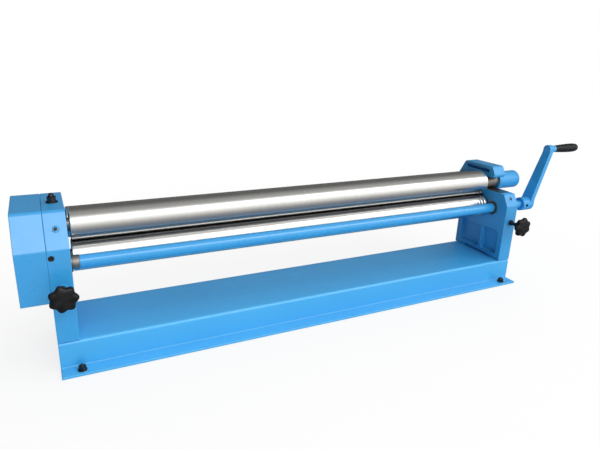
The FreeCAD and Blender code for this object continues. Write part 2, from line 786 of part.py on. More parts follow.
def release_sleeve():
    """Steel bearing nose and the tube that the handle is fixed on."""
    face = outer_right + 1.0
    tube = neck_diameter + 2 * running_clearance + 2 * sleeve_wall
    profile = [(nose_start, nose_diameter / 2 - 1), (nose_start + 1, nose_diameter / 2),
               (face, nose_diameter / 2), (face, tube / 2), (sleeve_end - handle_cap, tube / 2)]
    body = turned(profile, Vector(0, roll_y, upper_roll_height), AXIS_X)
    bore = rod_x(nose_start - 1, sleeve_end, roll_y, upper_roll_height,
                 neck_diameter + 2 * running_clearance)
    return body.cut(bore)


def release_handle():
    face = outer_right + 1.0 + seat_gap
    tube = neck_diameter + 2 * running_clearance + 2 * sleeve_wall
    radius = handle_diameter / 2
    profile = [(face, radius - 1.5), (face + 1.5, radius), (sleeve_end - 3, radius),
               (sleeve_end - 1, radius - 1), (sleeve_end, radius - 3)]
    body = turned(profile, Vector(0, roll_y, upper_roll_height), AXIS_X)
    bore = rod_x(face - 1, sleeve_end - handle_cap + seat_gap, roll_y, upper_roll_height,
                 tube + 2 * running_clearance)
    return body.cut(bore)


# ---- bearings -----------------------------------------------------------------------
bush_wall = 3.0
block_face_gap = 2.0


def bush_diameter():
    return journal_diameter + 2 * running_clearance + 2 * bush_wall


def bush(x0, x1, y, z):
    return ring_x(x0, x1, y, z, bush_diameter(), journal_diameter + 2 * running_clearance)


def lower_block():
    """Left lower bearing block: round top, and a sloped tongue on the wedge."""
    x0 = outer_left + block_face_gap
    x1 = inner_left - inner_web - seat_gap
    centre = Vector(x0, roll_y, lower_roll_height)
    body = arched(centre, AXIS_Z, bearing_half_width - seat_gap, lower_block_drop, AXIS_X, x1 - x0)
    foot_low = lower_roll_height - lower_block_drop - foot_drop
    rise = foot_half_length / wedge_slope
    outline = [(roll_setback - foot_half_length, lower_roll_height - lower_block_drop + 1, 0),
               (roll_setback - foot_half_length, foot_low + rise, 0),
               (roll_setback + foot_half_length, foot_low - rise, 0),
               (roll_setback + foot_half_length, lower_roll_height - lower_block_drop + 1, 0)]
    foot = plate_x(outline, adjuster_left - foot_width / 2, adjuster_left + foot_width / 2)
    bore = rod_x(x0 - 1, x1 + 1, roll_y, lower_roll_height, bush_diameter() + 2 * running_clearance)
    return join([body, foot]).cut(bore)


def lower_bushes():
    x0 = outer_left + block_face_gap
    x1 = inner_left - inner_web - seat_gap
    left, right = both_ends(lambda: bush(x0, x1, roll_y, lower_roll_height))
    return Part.makeCompound([left, right])


wedge_length = 62.0
wedge_front_setback = 84.0
front_screw_end_setback = 102.0
wedge_hole_depth = 40.0
gland_flange = 2.0
gland_depth = 14.0
gland_diameter = 26.0
screw_collar_diameter = 18.0
outer_collar_thickness = 4.0
inner_collar_diameter = 18.0
screw_collar_thickness = 6.0
stem_diameter = 12.0
stem_length = 28.0


def front_wedge():
    """Round plunger with a sloped flat that lifts the lower block."""
    front = y_of(wedge_front_setback)
    plunger = rod_y(front, front + wedge_length, adjuster_left, front_screw_height,
                    wedge_bore - 2 * running_clearance)
    top = lower_roll_height - lower_block_drop - foot_drop - seat_gap
    climb = (roll_setback - wedge_front_setback + 1) / wedge_slope
    drop = (wedge_front_setback + wedge_length + 1 - roll_setback) / wedge_slope
    ceiling = front_screw_height + wedge_bore
    before = wedge_front_setback - 1
    behind = wedge_front_setback + wedge_length + 1
    outline = [(before, top + climb, 0), (behind, top - drop, 0), (behind, ceiling, 0), (before, ceiling, 0)]
    flat = plate_x(outline, adjuster_left - wedge_bore, adjuster_left + wedge_bore)
    hole = rod_y(front - 1, front + wedge_hole_depth, adjuster_left, front_screw_height,
                 front_screw_diameter + 2 * running_clearance)
    return cut(plunger, [flat, hole])


def front_gland():
    """Screwed plug in the front of the wedge's bore; it carries the screw."""
    flange = rod_y(y_of(-gland_flange), y_of(0), adjuster_left, front_screw_height, gland_diameter)
    body = rod_y(y_of(-1), y_of(gland_depth), adjuster_left, front_screw_height,
                 wedge_bore - 2 * running_clearance)
    hole = rod_y(y_of(-gland_flange - 1), y_of(gland_depth + 1), adjuster_left, front_screw_height,
                 stem_diameter + 2 * running_clearance)
    return flange.fuse(body).cut(hole)


def front_screw():
    spigot = spigot_diameter_in_knob / 2
    collar_end = -gland_flange - small_gap
    collar_start = collar_end - outer_collar_thickness
    profile = [(-stem_length - spigot_depth_in_knob, spigot), (-stem_length, spigot),
               (-stem_length, stem_diameter / 2), (collar_start, stem_diameter / 2),
               (collar_start, screw_collar_diameter / 2), (collar_end, screw_collar_diameter / 2),
               (collar_end, stem_diameter / 2), (gland_depth + small_gap, stem_diameter / 2),
               (gland_depth + small_gap, inner_collar_diameter / 2),
               (gland_depth + small_gap + screw_collar_thickness, inner_collar_diameter / 2),
               (gland_depth + small_gap + screw_collar_thickness, front_screw_diameter / 2),
               (front_screw_end_setback - 1, front_screw_diameter / 2),
               (front_screw_end_setback, front_screw_diameter / 2 - 1)]
    return turned(profile, Vector(adjuster_left, y_of(0), front_screw_height), AXIS_Y)


knob_hub_diameter = 24.0
knob_hub_length = 9.0
knob_shoulder_diameter = 46.0
knob_shoulder_length = 6.0
knob_edge = 3.0               # rounding of the rim towards the frame
knob_dome = 7.0
knob_dish = 1.5
lobe_depth = 5.0
spigot_diameter_in_knob = stem_diameter - 4
spigot_depth_in_knob = 14.0


def star_face():
    """Outline of the knob's rim: round lobes with shallow round valleys."""
    step = 2 * math.pi / knob_lobes
    tip = knob_diameter / 2
    side = tip - 0.45 * lobe_depth

    def at(radius, angle):
        return Vector(0, radius * math.cos(angle), radius * math.sin(angle))

    edges = []
    for lobe in range(knob_lobes):
        angle = lobe * step
        near = at(side, angle + step / 4)
        far = at(side, angle + 3 * step / 4)
        edges.append(Part.Arc(at(side, angle - step / 4), at(tip, angle), near).toShape())
        edges.append(Part.Arc(near, at(tip - lobe_depth, angle + step / 2), far).toShape())
    return Part.Face(Part.Wire(edges))


def star_knob(seat, outward):
    """Lobed knob; seat is where its hub starts, outward its axis."""
    finish = knob_hub_length + knob_thickness
    radius = knob_diameter / 2
    rim_start = knob_hub_length + knob_shoulder_length
    rim = [(rim_start, radius - knob_edge), (rim_start + knob_edge, radius), (finish - knob_dome, radius),
           (finish - 0.45 * knob_dome, radius - 0.4 * knob_dome),
           (finish - 0.1 * knob_dome, radius - 1.3 * knob_dome), (finish, radius - 2 * knob_dome)]
    hub = [(0, knob_hub_diameter / 2), (knob_hub_length, knob_hub_diameter / 2),
           (rim_start + 1, knob_shoulder_diameter / 2)]
    lobes = star_face().extrude(Vector(2 * finish, 0, 0)).common(turned(rim, Vector(0, 0, 0), AXIS_X))
    hole = rod(Vector(-1, 0, 0), AXIS_X, spigot_depth_in_knob + 2 * running_clearance + 1,
               spigot_diameter_in_knob + 2 * running_clearance)
    dish = Part.makeCone(knob_hub_diameter / 2 - 4, knob_hub_diameter / 2, knob_dish,
                         Vector(finish - knob_dish, 0, 0), AXIS_X)
    knob = cut(join([lobes, turned(hub, Vector(0, 0, 0), AXIS_X)]), [hole, dish])
    knob.Placement = FreeCAD.Placement(seat, FreeCAD.Rotation(AXIS_X, outward))
    return knob


def front_knob():
    seat = Vector(adjuster_left, y_of(-stem_length - seat_gap), front_screw_height)
    return star_knob(seat, AXIS_Y * -1)


def rear_block():
    x0 = outer_left + block_face_gap
    x1 = inner_left - inner_web - seat_gap
    centre = Vector(x0, rear_roll_y, rear_roll_height)
    body = arched(centre, rear_up, rear_half_width - seat_gap, rear_block_drop, AXIS_X, x1 - x0)
    bore = rod_x(x0 - 1, x1 + 1, rear_roll_y, rear_roll_height, bush_diameter() + 2 * running_clearance)
    return body.cut(bore)


def rear_bushes():
    x0 = outer_left + block_face_gap
    x1 = inner_left - inner_web - seat_gap
    left, right = both_ends(lambda: bush(x0, x1, rear_roll_y, rear_roll_height))
    return Part.makeCompound([left, right])


rear_stem_reach = 44.0
rear_face_distance = ((rear_point_setback - rear_roll_setback) * math.sin(tilt)
                      - (rear_point_height - rear_roll_height) * math.cos(tilt))


def rear_screw():
    """Adjusting screw from the rear block's foot down to its knob."""
    foot = Vector(adjuster_left, rear_roll_y, rear_roll_height) - rear_up * (rear_block_drop + seat_gap)
    length = rear_face_distance + rear_stem_reach - rear_block_drop - seat_gap
    spigot = spigot_diameter_in_knob / 2
    profile = [(0, screw_diameter / 2 - 1), (1, screw_diameter / 2), (length, screw_diameter / 2),
               (length, spigot), (length + spigot_depth_in_knob, spigot)]
    return turned(profile, foot, rear_up * -1)


def rear_knob():
    centre = Vector(adjuster_left, rear_roll_y, rear_roll_height)
    seat = centre - rear_up * (rear_face_distance + rear_stem_reach + seat_gap)
    return star_knob(seat, rear_up * -1)


# ---- swinging bearing of the upper roll ---------------------------------------------
upper_block_half_width = 23.0
upper_block_proud = 8.0


def upper_left_block():
    x0 = outer_left - upper_block_proud
    x1 = inner_left - 1.0
    half_width = upper_block_half_width
    low = upper_roll_height - upper_block_half_height
    high = upper_roll_height + upper_block_half_height
    outline = [(roll_setback - half_width, low, 2), (roll_setback - half_width, high, 2),
               (roll_setback + half_width, high, 2), (roll_setback + half_width, low, 2)]
    body = plate_x(outline, x0, x1)
    bore = rod_x(x0 - 1, x1 + 1, roll_y, upper_roll_height, bush_diameter() + 2 * running_clearance)
    tip = rod_z(high - pivot_tip_reach, high + 1, middle_left, roll_y,
                pivot_tip_diameter + 2 * running_clearance)
    pin = rod_z(low - 1, low + pivot_pin_length / 2 + small_gap, middle_left, roll_y,
                pivot_tip_diameter + 2 * running_clearance)
    return cut(body, [bore, tip, pin])


pivot_tip_reach = 10.0


def upper_bush():
    return bush(outer_left - upper_block_proud, inner_left - 1.0, roll_y, upper_roll_height)


def frame_top_height(setback):
    share = (setback - brow_setback) / (crown_setback - brow_setback)
    return brow_height + share * (crown_height - brow_height)


pivot_nut_height = 10.0
pivot_nut_flats = 19.0
pivot_stub = 11.0             # bolt end above its lock nut
pivot_socket_flats = 6.0
pivot_socket_depth = 5.0
pivot_seat_diameter = 26.0


def pivot_seat_height():
    """Level of the machined seat under the pivot bolt's lock nut."""
    half = pivot_seat_diameter / 2
    lowest = min(frame_top_height(roll_setback - half), frame_top_height(roll_setback + half))
    return lowest - small_gap


def pivot_bolt():
    """Socket screw with a plain tip; it holds the top of the swinging block."""
    block_top = upper_roll_height + upper_block_half_height
    top = pivot_seat_height() + pivot_nut_height + pivot_stub
    radius = pivot_bolt_diameter / 2 - running_clearance
    profile = [(block_top - pivot_tip_reach + small_gap, pivot_tip_diameter / 2),
               (block_top + 2 * seat_gap, pivot_tip_diameter / 2), (block_top + 2 * seat_gap, radius),
               (top - 1.5, radius), (top, radius - 1.5)]
    bolt = turned(profile, Vector(middle_left, roll_y, 0), AXIS_Z)
    socket = hexagon(Vector(middle_left, roll_y, top - pivot_socket_depth), AXIS_Z, pivot_socket_flats,
                     pivot_socket_depth + 1)
    return bolt.cut(socket)


def pivot_lock_nut():
    top = pivot_seat_height() + seat_gap
    nut = hexagon(Vector(middle_left, roll_y, top), AXIS_Z, pivot_nut_flats, pivot_nut_height)
    return nut.cut(rod_z(top - 1, top + pivot_nut_height, middle_left, roll_y, pivot_bolt_diameter))


def pivot_pin():
    floor = upper_roll_height - upper_block_half_height
    low = floor - pivot_pin_length / 2
    return rod_z(low, floor + pivot_pin_length / 2, middle_left, roll_y, pivot_tip_diameter)


# ---- drive tube and crank -------------------------------------------------------------
drive_bush_flange = 4.0
drive_collar_width = 14.0
drive_collar_diameter = 33.0
spigot_length = 60.0
set_screw_diameter = 8.0
flat_depth = 3.0
flat_length = 34.0
crank_shaft_recess = 14.0     # shaft end inside the outer face of the hub


def drive_bush(inner, outward):
    """Flanged bronze bush of the drive shaft, pressed in from inside."""
    x0, x1 = sorted((inner, inner + outward * frame_thickness))
    fx0, fx1 = sorted((inner, inner - outward * drive_bush_flange))
    body = rod_x(x0, x1, drive_y, drive_height, drive_bush_diameter)
    flange = rod_x(fx0, fx1, drive_y, drive_height, drive_bush_diameter + 8)
    bore = rod_x(min(x0, fx0) - 1, max(x1, fx1) + 1, drive_y, drive_height,
                 drive_shaft_diameter + 2 * running_clearance)
    return body.fuse(flange).cut(bore)


def drive_bushes():
    return Part.makeCompound([drive_bush(inner_left, -1), drive_bush(inner_right, 1)])


tube_start = inner_left + drive_bush_flange + small_gap + drive_collar_width + small_gap
tube_end = inner_right - drive_bush_flange - small_gap
spigot_diameter = tube_bore - 2 * running_clearance


def drive_tube():
    return ring_x(tube_start, tube_end, drive_y, drive_height, tube_diameter, tube_bore)


def left_drive_shaft():
    shaft_radius = drive_shaft_diameter / 2
    profile = [(gear_outer - 8, shaft_end_diameter / 2 - 1), (gear_outer - 7, shaft_end_diameter / 2),
               (gear_outer, shaft_end_diameter / 2), (gear_outer, shaft_radius), (tube_start, shaft_radius),
               (tube_start, spigot_diameter / 2), (tube_start + spigot_length, spigot_diameter / 2)]
    return turned(profile, Vector(0, drive_y, drive_height), AXIS_X)


def crank_shaft():
    shaft_radius = drive_shaft_diameter / 2
    end = outer_right + crank_shaft_reach - crank_shaft_recess
    profile = [(tube_end - spigot_length, spigot_diameter / 2), (tube_end, spigot_diameter / 2),
               (tube_end, shaft_radius), (end - 1.5, shaft_radius), (end, shaft_radius - 1.5)]
    shaft = turned(profile, Vector(0, drive_y, drive_height), AXIS_X)
    flat = box(end - flat_length, end + 1, drive_y - shaft_radius - 1, drive_y - shaft_radius + flat_depth,
               drive_height - 20, drive_height + 20)
    return shaft.cut(flat)


def drive_collar():
    x0 = inner_left + drive_bush_flange + small_gap
    collar = ring_x(x0, x0 + drive_collar_width, drive_y, drive_height, drive_collar_diameter,
                    drive_shaft_diameter + 2 * running_clearance)
    hole = rod(Vector(x0 + drive_collar_width / 2, drive_y, drive_height), Vector(0, 0, -1),
               drive_collar_diameter, set_screw_diameter)
    return collar.cut(hole)


def collar_set_screw():
    """Grub screw, flush with the collar, so it clears the lower roll."""
    x = inner_left + drive_bush_flange + small_gap + drive_collar_width / 2
    length = (drive_collar_diameter - drive_shaft_diameter) / 2 - 3 * running_clearance
    start = Vector(x, drive_y, drive_height - drive_shaft_diameter / 2 - 2 * running_clearance)
    shank = rod(start, Vector(0, 0, -1), length, set_screw_diameter - 2 * running_clearance)
    socket = hexagon(start - AXIS_Z * (length - 2), Vector(0, 0, -1), 4, 3)
    return shank.cut(socket)


hub_diameter = 44.0
hub_length = 46.0
arm_thickness = 16.0
arm_root_width = 42.0
arm_top_width = 28.0
boss_diameter = 22.0
boss_length = 18.0
spindle_diameter = 10.0
crank_top_height = drive_height + crank_radius
set_screw_setback = 14.0      # from the inner face of the hub
hub_outer = outer_right + crank_shaft_reach
hub_inner = hub_outer - hub_length
arm_top_outer = hub_outer + crank_lean


def arm_side_view():
    """Outline of the arm seen along Y: straight root, lean, straight top."""
    root_low = drive_height - hub_diameter / 2
    root_high = drive_height + hub_diameter / 3
    top_low = crank_top_height - arm_top_width / 3
    top_high = crank_top_height + arm_top_width
    outer = [(hub_outer, root_low, 0), (hub_outer, root_high, 30), (arm_top_outer, top_low, 30),
             (arm_top_outer, top_high, 0)]
    inner = [(x - arm_thickness, z, r) for x, z, r in outer[::-1]]
    width = arm_root_width + 20
    corners = [(Vector(x, drive_y - width / 2, z), r) for x, z, r in outer + inner]
    return Part.Face(rounded_wire(corners)).extrude(Vector(0, width, 0))


def arm_front_view():
    """Tapered bar with two round ends, seen along X."""
    root = Vector(hub_inner, drive_y, drive_height)
    top = Vector(hub_inner, drive_y, crank_top_height)
    root_radius = arm_root_width / 2
    top_radius = arm_top_width / 2
    lean = math.asin((root_radius - top_radius) / crank_radius)
    side = Vector(0, math.cos(lean), math.sin(lean))
    other = Vector(0, -math.cos(lean), math.sin(lean))
    edges = [
        Part.LineSegment(root + side * root_radius, top + side * top_radius).toShape(),
        Part.Arc(top + side * top_radius, top + AXIS_Z * top_radius, top + other * top_radius).toShape(),
        Part.LineSegment(top + other * top_radius, root + other * root_radius).toShape(),
        Part.Arc(root + other * root_radius, root - AXIS_Z * root_radius,
                 root + side * root_radius).toShape(),
    ]
    return Part.Face(Part.Wire(edges)).extrude(Vector(arm_top_outer + 20 - hub_inner, 0, 0))


def crank_arm():
    arm = arm_side_view().common(arm_front_view())
    hub = rod_x(hub_inner, hub_outer - 2, drive_y, drive_height, hub_diameter)
    boss = rod_x(arm_top_outer - 2, arm_top_outer + boss_length, drive_y, crank_top_height, boss_diameter)
    bore = rod_x(hub_inner - 1, hub_outer + 1, drive_y, drive_height,
                 drive_shaft_diameter + 2 * running_clearance)
    flat_face = drive_y - drive_shaft_diameter / 2 + flat_depth - seat_gap
    keep = box(hub_inner - 2, hub_outer + 2, drive_y - 20, flat_face, drive_height - 20, drive_height + 20)
    screw_hole = rod(Vector(hub_inner + set_screw_setback, drive_y, drive_height), AXIS_Y * -1,
                     hub_diameter, set_screw_diameter)
    spindle_hole = rod_x(arm_top_outer - arm_thickness - 1, arm_top_outer + boss_length + 1,
                         drive_y, crank_top_height, spindle_diameter)
    return join([arm, hub, boss]).cut(bore.cut(keep)).cut(screw_hole).cut(spindle_hole)


def crank_set_screw():
    flat_y = drive_y - drive_shaft_diameter / 2 + flat_depth
    start = Vector(hub_inner + set_screw_setback, flat_y - 2 * seat_gap, drive_height)
    length = hub_diameter / 2 - drive_shaft_diameter / 2 + flat_depth + 1
    shank = rod(start, AXIS_Y * -1, length, set_screw_diameter - 2 * running_clearance)
    socket = hexagon(start - AXIS_Y * (length - 3), AXIS_Y * -1, 4, 4)
    return shank.cut(socket)


grip_start = arm_top_outer + boss_length + small_gap
spindle_head = 5.0
spindle_head_diameter = 13.0


def grip():
    shares = [(0, 0.70), (0.015, 0.80), (0.25, 0.88), (0.55, 0.98), (0.75, 1.0), (0.90, 0.93), (0.97, 0.76),
              (1.0, 0.52)]
    profile = [(grip_length * along, grip_diameter / 2 * share) for along, share in shares]
    body = turned(profile, Vector(grip_start, drive_y, crank_top_height), AXIS_X)
    bore = rod_x(grip_start - 1, grip_start + grip_length + 1, drive_y, crank_top_height,
                 spindle_diameter + 2 * running_clearance)
    counterbore = rod_x(grip_start + grip_length - spindle_head - 1.5, grip_start + grip_length + 1,
                        drive_y, crank_top_height, spindle_head_diameter + 4 * running_clearance)
    return body.cut(bore).cut(counterbore)


def grip_spindle():
    end = grip_start + grip_length - spindle_head - 1.5 + small_gap
    shank = rod_x(arm_top_outer - arm_thickness, end, drive_y, crank_top_height,
                  spindle_diameter - 2 * running_clearance)
    head = rod_x(end, end + spindle_head, drive_y, crank_top_height, spindle_head_diameter)
    slot = box(end + spindle_head - 1.5, end + spindle_head + 1, drive_y - 1, drive_y + 1,
               crank_top_height - 8, crank_top_height + 8)
    return shank.fuse(head).cut(slot)


# ---- write every piece -------------------------------------------------------------------
os.makedirs("parts", exist_ok=True)

pieces = {
    "base_channel": base_channel(),
    "hold_down_bolts": hold_down_bolts(),
    "left_frame": left_frame(),
    "right_frame": right_frame(),
    "oil_cups": oil_cups(),
    "gear_cover": gear_cover(),
    "cover_screws": cover_screws(),
    "drive_gear": drive_gear(),
    "drive_gear_nut": shaft_nut(drive_y, drive_height),
    "idler_gear": idler_gear(),
    "idler_bush": idler_bush(),
    "idler_stud": idler_stud(),
    "idler_ring": idler_ring(),
    "upper_pinion": pinion(upper_pinion_phase, upper_roll_height),
    "upper_pinion_nut": shaft_nut(roll_y, upper_roll_height),
    "lower_pinion": pinion(lower_pinion_phase, lower_roll_height),
    "lower_pinion_nut": shaft_nut(roll_y, lower_roll_height),
    "upper_roll": upper_roll(),
    "lower_roll": lower_roll(),
    "rear_roll": rear_roll(),
    "release_sleeve": release_sleeve(),
    "release_handle": release_handle(),
    "lower_bushes": lower_bushes(),
    "rear_bushes": rear_bushes(),
    "upper_left_block": upper_left_block(),
    "upper_bush": upper_bush(),
    "pivot_bolt": pivot_bolt(),
    "pivot_lock_nut": pivot_lock_nut(),
    "pivot_pin": pivot_pin(),
    "drive_bushes": drive_bushes(),
    "drive_tube": drive_tube(),
    "left_drive_shaft": left_drive_shaft(),
    "drive_collar": drive_collar(),
    "collar_set_screw": collar_set_screw(),
    "crank_shaft": crank_shaft(),
    "crank_arm": crank_arm(),
    "crank_set_screw": crank_set_screw(),
    "grip": grip(),
    "grip_spindle": grip_spindle(),
}

for name, make in (("lower_block", lower_block), ("front_wedge", front_wedge), ("front_gland", front_gland),
                   ("front_screw", front_screw), ("front_knob", front_knob), ("rear_block", rear_block),
                   ("rear_screw", rear_screw), ("rear_knob", rear_knob)):
    left, right = both_ends(make)
    pieces[name + "_left"] = left
    pieces[name + "_right"] = right

for name, shape in pieces.items():
    shape.exportStep("parts/" + name + ".step")
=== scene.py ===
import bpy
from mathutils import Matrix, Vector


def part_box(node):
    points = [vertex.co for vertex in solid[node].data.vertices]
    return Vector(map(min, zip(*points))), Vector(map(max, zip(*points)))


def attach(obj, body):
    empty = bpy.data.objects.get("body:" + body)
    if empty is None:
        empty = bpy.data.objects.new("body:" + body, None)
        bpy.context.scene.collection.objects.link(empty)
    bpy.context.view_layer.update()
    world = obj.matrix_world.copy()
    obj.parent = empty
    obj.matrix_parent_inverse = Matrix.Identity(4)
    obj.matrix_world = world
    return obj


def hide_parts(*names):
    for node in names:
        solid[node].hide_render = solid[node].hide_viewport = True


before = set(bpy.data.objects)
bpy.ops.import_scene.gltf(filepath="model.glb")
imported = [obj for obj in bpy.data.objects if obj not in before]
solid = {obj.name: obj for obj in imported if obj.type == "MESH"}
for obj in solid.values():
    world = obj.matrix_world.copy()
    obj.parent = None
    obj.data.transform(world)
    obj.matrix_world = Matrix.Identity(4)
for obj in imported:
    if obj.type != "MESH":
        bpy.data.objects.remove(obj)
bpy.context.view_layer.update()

import math

import bmesh
import bpy
from mathutils import Matrix, Vector

# ---- folded base ------------------------------------------------------------------------
# One length of 6 mm steel sheet, folded down into two walls and out into two flanges, and
# sprayed with gloss blue enamel. Four black nuts on short studs hold its flanges down, and
# four hexagon bolts come up through the deck into the side frames.


def put(tree, kind, settings=None, values=None):
    """A shader node with its settings and the values of its unlinked sockets."""
    made = tree.nodes.new("ShaderNode" + kind)
    for name, value in (settings or {}).items():
        setattr(made, name, value)
    for name, value in (values or {}).items():
        made.inputs[name].default_value = value
    return made


def start_group(name, inputs, outputs):
    """An empty node group with its named sockets, and its input and output nodes."""
    tree = bpy.data.node_groups.new(name, "ShaderNodeTree")
    for socket, (kind, value) in inputs.items():
        made = tree.interface.new_socket(name=socket, in_out="INPUT",
                                         socket_type="NodeSocket" + kind)
        made.default_value = value
    for socket, kind in outputs.items():
        tree.interface.new_socket(name=socket, in_out="OUTPUT", socket_type="NodeSocket" + kind)
    given = tree.nodes.new("NodeGroupInput").outputs
    return tree, given, tree.nodes.new("NodeGroupOutput").inputs


def join_to(tree, side, socket):
    """Feeds a socket from another socket or with a plain value."""
    if isinstance(side, bpy.types.NodeSocket):
        tree.links.new(side, socket)
    else:
        socket.default_value = side


def math_node(tree, operation, first, second):
    """A Math node; each side is a socket or a number."""
    made = put(tree, "Math", {"operation": operation})
    join_to(tree, first, made.inputs[0])
    join_to(tree, second, made.inputs[1])
    return made.outputs[0]


def times(tree, first, second):
    return math_node(tree, "MULTIPLY", first, second)


def blend_colour(tree, share, under, over, how="MIX"):
    """A colour Mix node; each colour is a socket or four numbers."""
    made = put(tree, "Mix", {"data_type": "RGBA", "blend_type": how})
    join_to(tree, share, made.inputs[0])
    join_to(tree, under, made.inputs[6])
    join_to(tree, over, made.inputs[7])
    return made.outputs[2]


def span(tree, value, low, high, start=0.0, end=1.0):
    """Maps a socket's values from low..high to start..end, held inside."""
    made = put(tree, "MapRange", None, {1: low, 2: high, 3: start, 4: end})
    tree.links.new(value, made.inputs[0])
    return made.outputs[0]


def noise(tree, where, scale, detail=3.0, rough=0.55):
    made = put(tree, "TexNoise", None, {"Detail": detail, "Roughness": rough})
    tree.links.new(where, made.inputs["Vector"])
    join_to(tree, scale, made.inputs["Scale"])
    return made.outputs["Fac"]


def edge_group():
    """Softened normals at sharp edges, and a broken mask of those edges."""
    tree, given, result = start_group(
        "edges", {"Radius": ("Float", 0.0015), "Break Up": ("Float", 1.0)},
        {"Edge": "Float", "Rounded": "Vector"})
    round_off = put(tree, "Bevel", {"samples": 4})
    tree.links.new(given["Radius"], round_off.inputs["Radius"])
    flat = put(tree, "NewGeometry")
    turn_away = put(tree, "VectorMath", {"operation": "DOT_PRODUCT"})
    tree.links.new(round_off.outputs[0], turn_away.inputs[0])
    tree.links.new(flat.outputs["Normal"], turn_away.inputs[1])
    bend = math_node(tree, "SUBTRACT", 1.0, turn_away.outputs["Value"])
    bend = span(tree, bend, low=0.02, high=0.2)
    where = put(tree, "TexCoord").outputs["Object"]
    patches = span(tree, noise(tree, where, scale=38.0, detail=5.0), low=0.36, high=0.62)
    gaps = times(tree, given["Break Up"], math_node(tree, "SUBTRACT", 1.0, patches))
    tree.links.new(times(tree, bend, math_node(tree, "SUBTRACT", 1.0, gaps)), result["Edge"])
    tree.links.new(round_off.outputs[0], result["Rounded"])
    return tree


def enamel_group():
    """Sprayed enamel: broad tone, orange peel or casting grain, edges lighter as thin paint and
    painted highlight, chips and dust.
    """
    deep_share, mottle_share, thin_paint_and_highlight_share = 0.22, 0.09, 0.75
    smear_share, dusty_share, chip_depth = 0.13, 0.6, 0.3
    dust, bare_chip = (0.40, 0.42, 0.42, 1), (0.05, 0.052, 0.055, 1)
    tree, given, result = start_group(
        "enamel",
        {"Blue": ("Color", (0.036, 0.365, 0.78, 1)), "Deep": ("Color", (0.018, 0.25, 0.62, 1)),
         "Thin": ("Color", (0.20, 0.58, 0.92, 1)), "Edge": ("Float", 0.0),
         "Grain Scale": ("Float", 420.0), "Grain": ("Float", 0.25), "Dust": ("Float", 0.1),
         "Gloss": ("Float", 0.28)},
        {"Color": "Color", "Roughness": "Float", "Height": "Float"})
    where = put(tree, "TexCoord").outputs["Object"]
    broad = span(tree, noise(tree, where, scale=3.1, detail=4.0), low=0.34, high=0.68)
    fine = noise(tree, where, scale=46.0, detail=6.0, rough=0.62)
    tone = blend_colour(tree, times(tree, broad, deep_share), given["Blue"], given["Deep"])
    mottle = times(tree, span(tree, fine, low=0.45, high=0.7), mottle_share)
    tone = blend_colour(tree, mottle, tone, given["Deep"])
    # Edges are lightened: partly thin paint, partly a painted edge highlight.
    tone = blend_colour(tree, times(tree, given["Edge"], thin_paint_and_highlight_share), tone, given["Thin"])
    facing = put(tree, "SeparateXYZ")
    tree.links.new(put(tree, "NewGeometry").outputs["Normal"], facing.inputs[0])
    upward = span(tree, facing.outputs[2], low=0.55, high=0.98)
    speck = noise(tree, where, scale=190.0, detail=4.0, rough=0.7)
    speck = span(tree, speck, low=0.42, high=0.74)
    settled = times(tree, times(tree, upward, speck), given["Dust"])
    tone = blend_colour(tree, settled, tone, dust)
    spots = noise(tree, where, scale=95.0, detail=2.0, rough=0.5)
    chips = times(tree, given["Edge"], span(tree, spots, low=0.655, high=0.675))
    tree.links.new(blend_colour(tree, chips, tone, bare_chip), result["Color"])
    smear = times(tree, span(tree, fine, low=0.3, high=0.72), smear_share)
    rough = math_node(tree, "ADD", math_node(tree, "ADD", given["Gloss"], smear),
                      times(tree, settled, dusty_share))
    tree.links.new(rough, result["Roughness"])
    peel = noise(tree, where, given["Grain Scale"], detail=3.0, rough=0.5)
    height = math_node(tree, "SUBTRACT", times(tree, peel, given["Grain"]),
                       times(tree, chips, chip_depth))
    tree.links.new(height, result["Height"])
    return tree


edges = edge_group()
enamel = enamel_group()


def group_node(tree, group, values):
    made = put(tree, "Group", {"node_tree": group})
    for name, value in values.items():
        made.inputs[name].default_value = value
    return made


def start_material(name, values):
    """A material with only its Principled shader, whose own sockets take the plain values."""
    made = bpy.data.materials.new(name)
    made.use_nodes = True
    tree = made.node_tree
    shader = tree.nodes["Principled BSDF"]
    for socket, value in values.items():
        shader.inputs[socket].default_value = value
    return made, tree, shader


def bump(tree, height, normal, shader, relief):
    made = put(tree, "Bump", None, {"Distance": relief, "Strength": 1.0})
    tree.links.new(height, made.inputs["Height"])
    if normal is not None:
        tree.links.new(normal, made.inputs["Normal"])
    tree.links.new(made.outputs[0], shader.inputs["Normal"])


def skinned_material(name, plain, edge_values, group, values, relief):
    """A material whose colour, roughness and relief come from the enamel or the steel group."""
    made, tree, shader = start_material(name, plain)
    edge = group_node(tree, edges, edge_values)
    skin = group_node(tree, group, values)
    tree.links.new(edge.outputs["Edge"], skin.inputs["Edge"])
    tree.links.new(skin.outputs["Color"], shader.inputs["Base Color"])
    tree.links.new(skin.outputs["Roughness"], shader.inputs["Roughness"])
    bump(tree, skin.outputs["Height"], edge.outputs["Rounded"], shader, relief)
    return made


def enamel_material(name, radius, break_up, values, relief):
    return skinned_material(name, {"Coat Weight": 0.8, "Coat Roughness": 0.12, "IOR": 1.5},
                            {"Radius": radius, "Break Up": break_up}, enamel, values, relief)


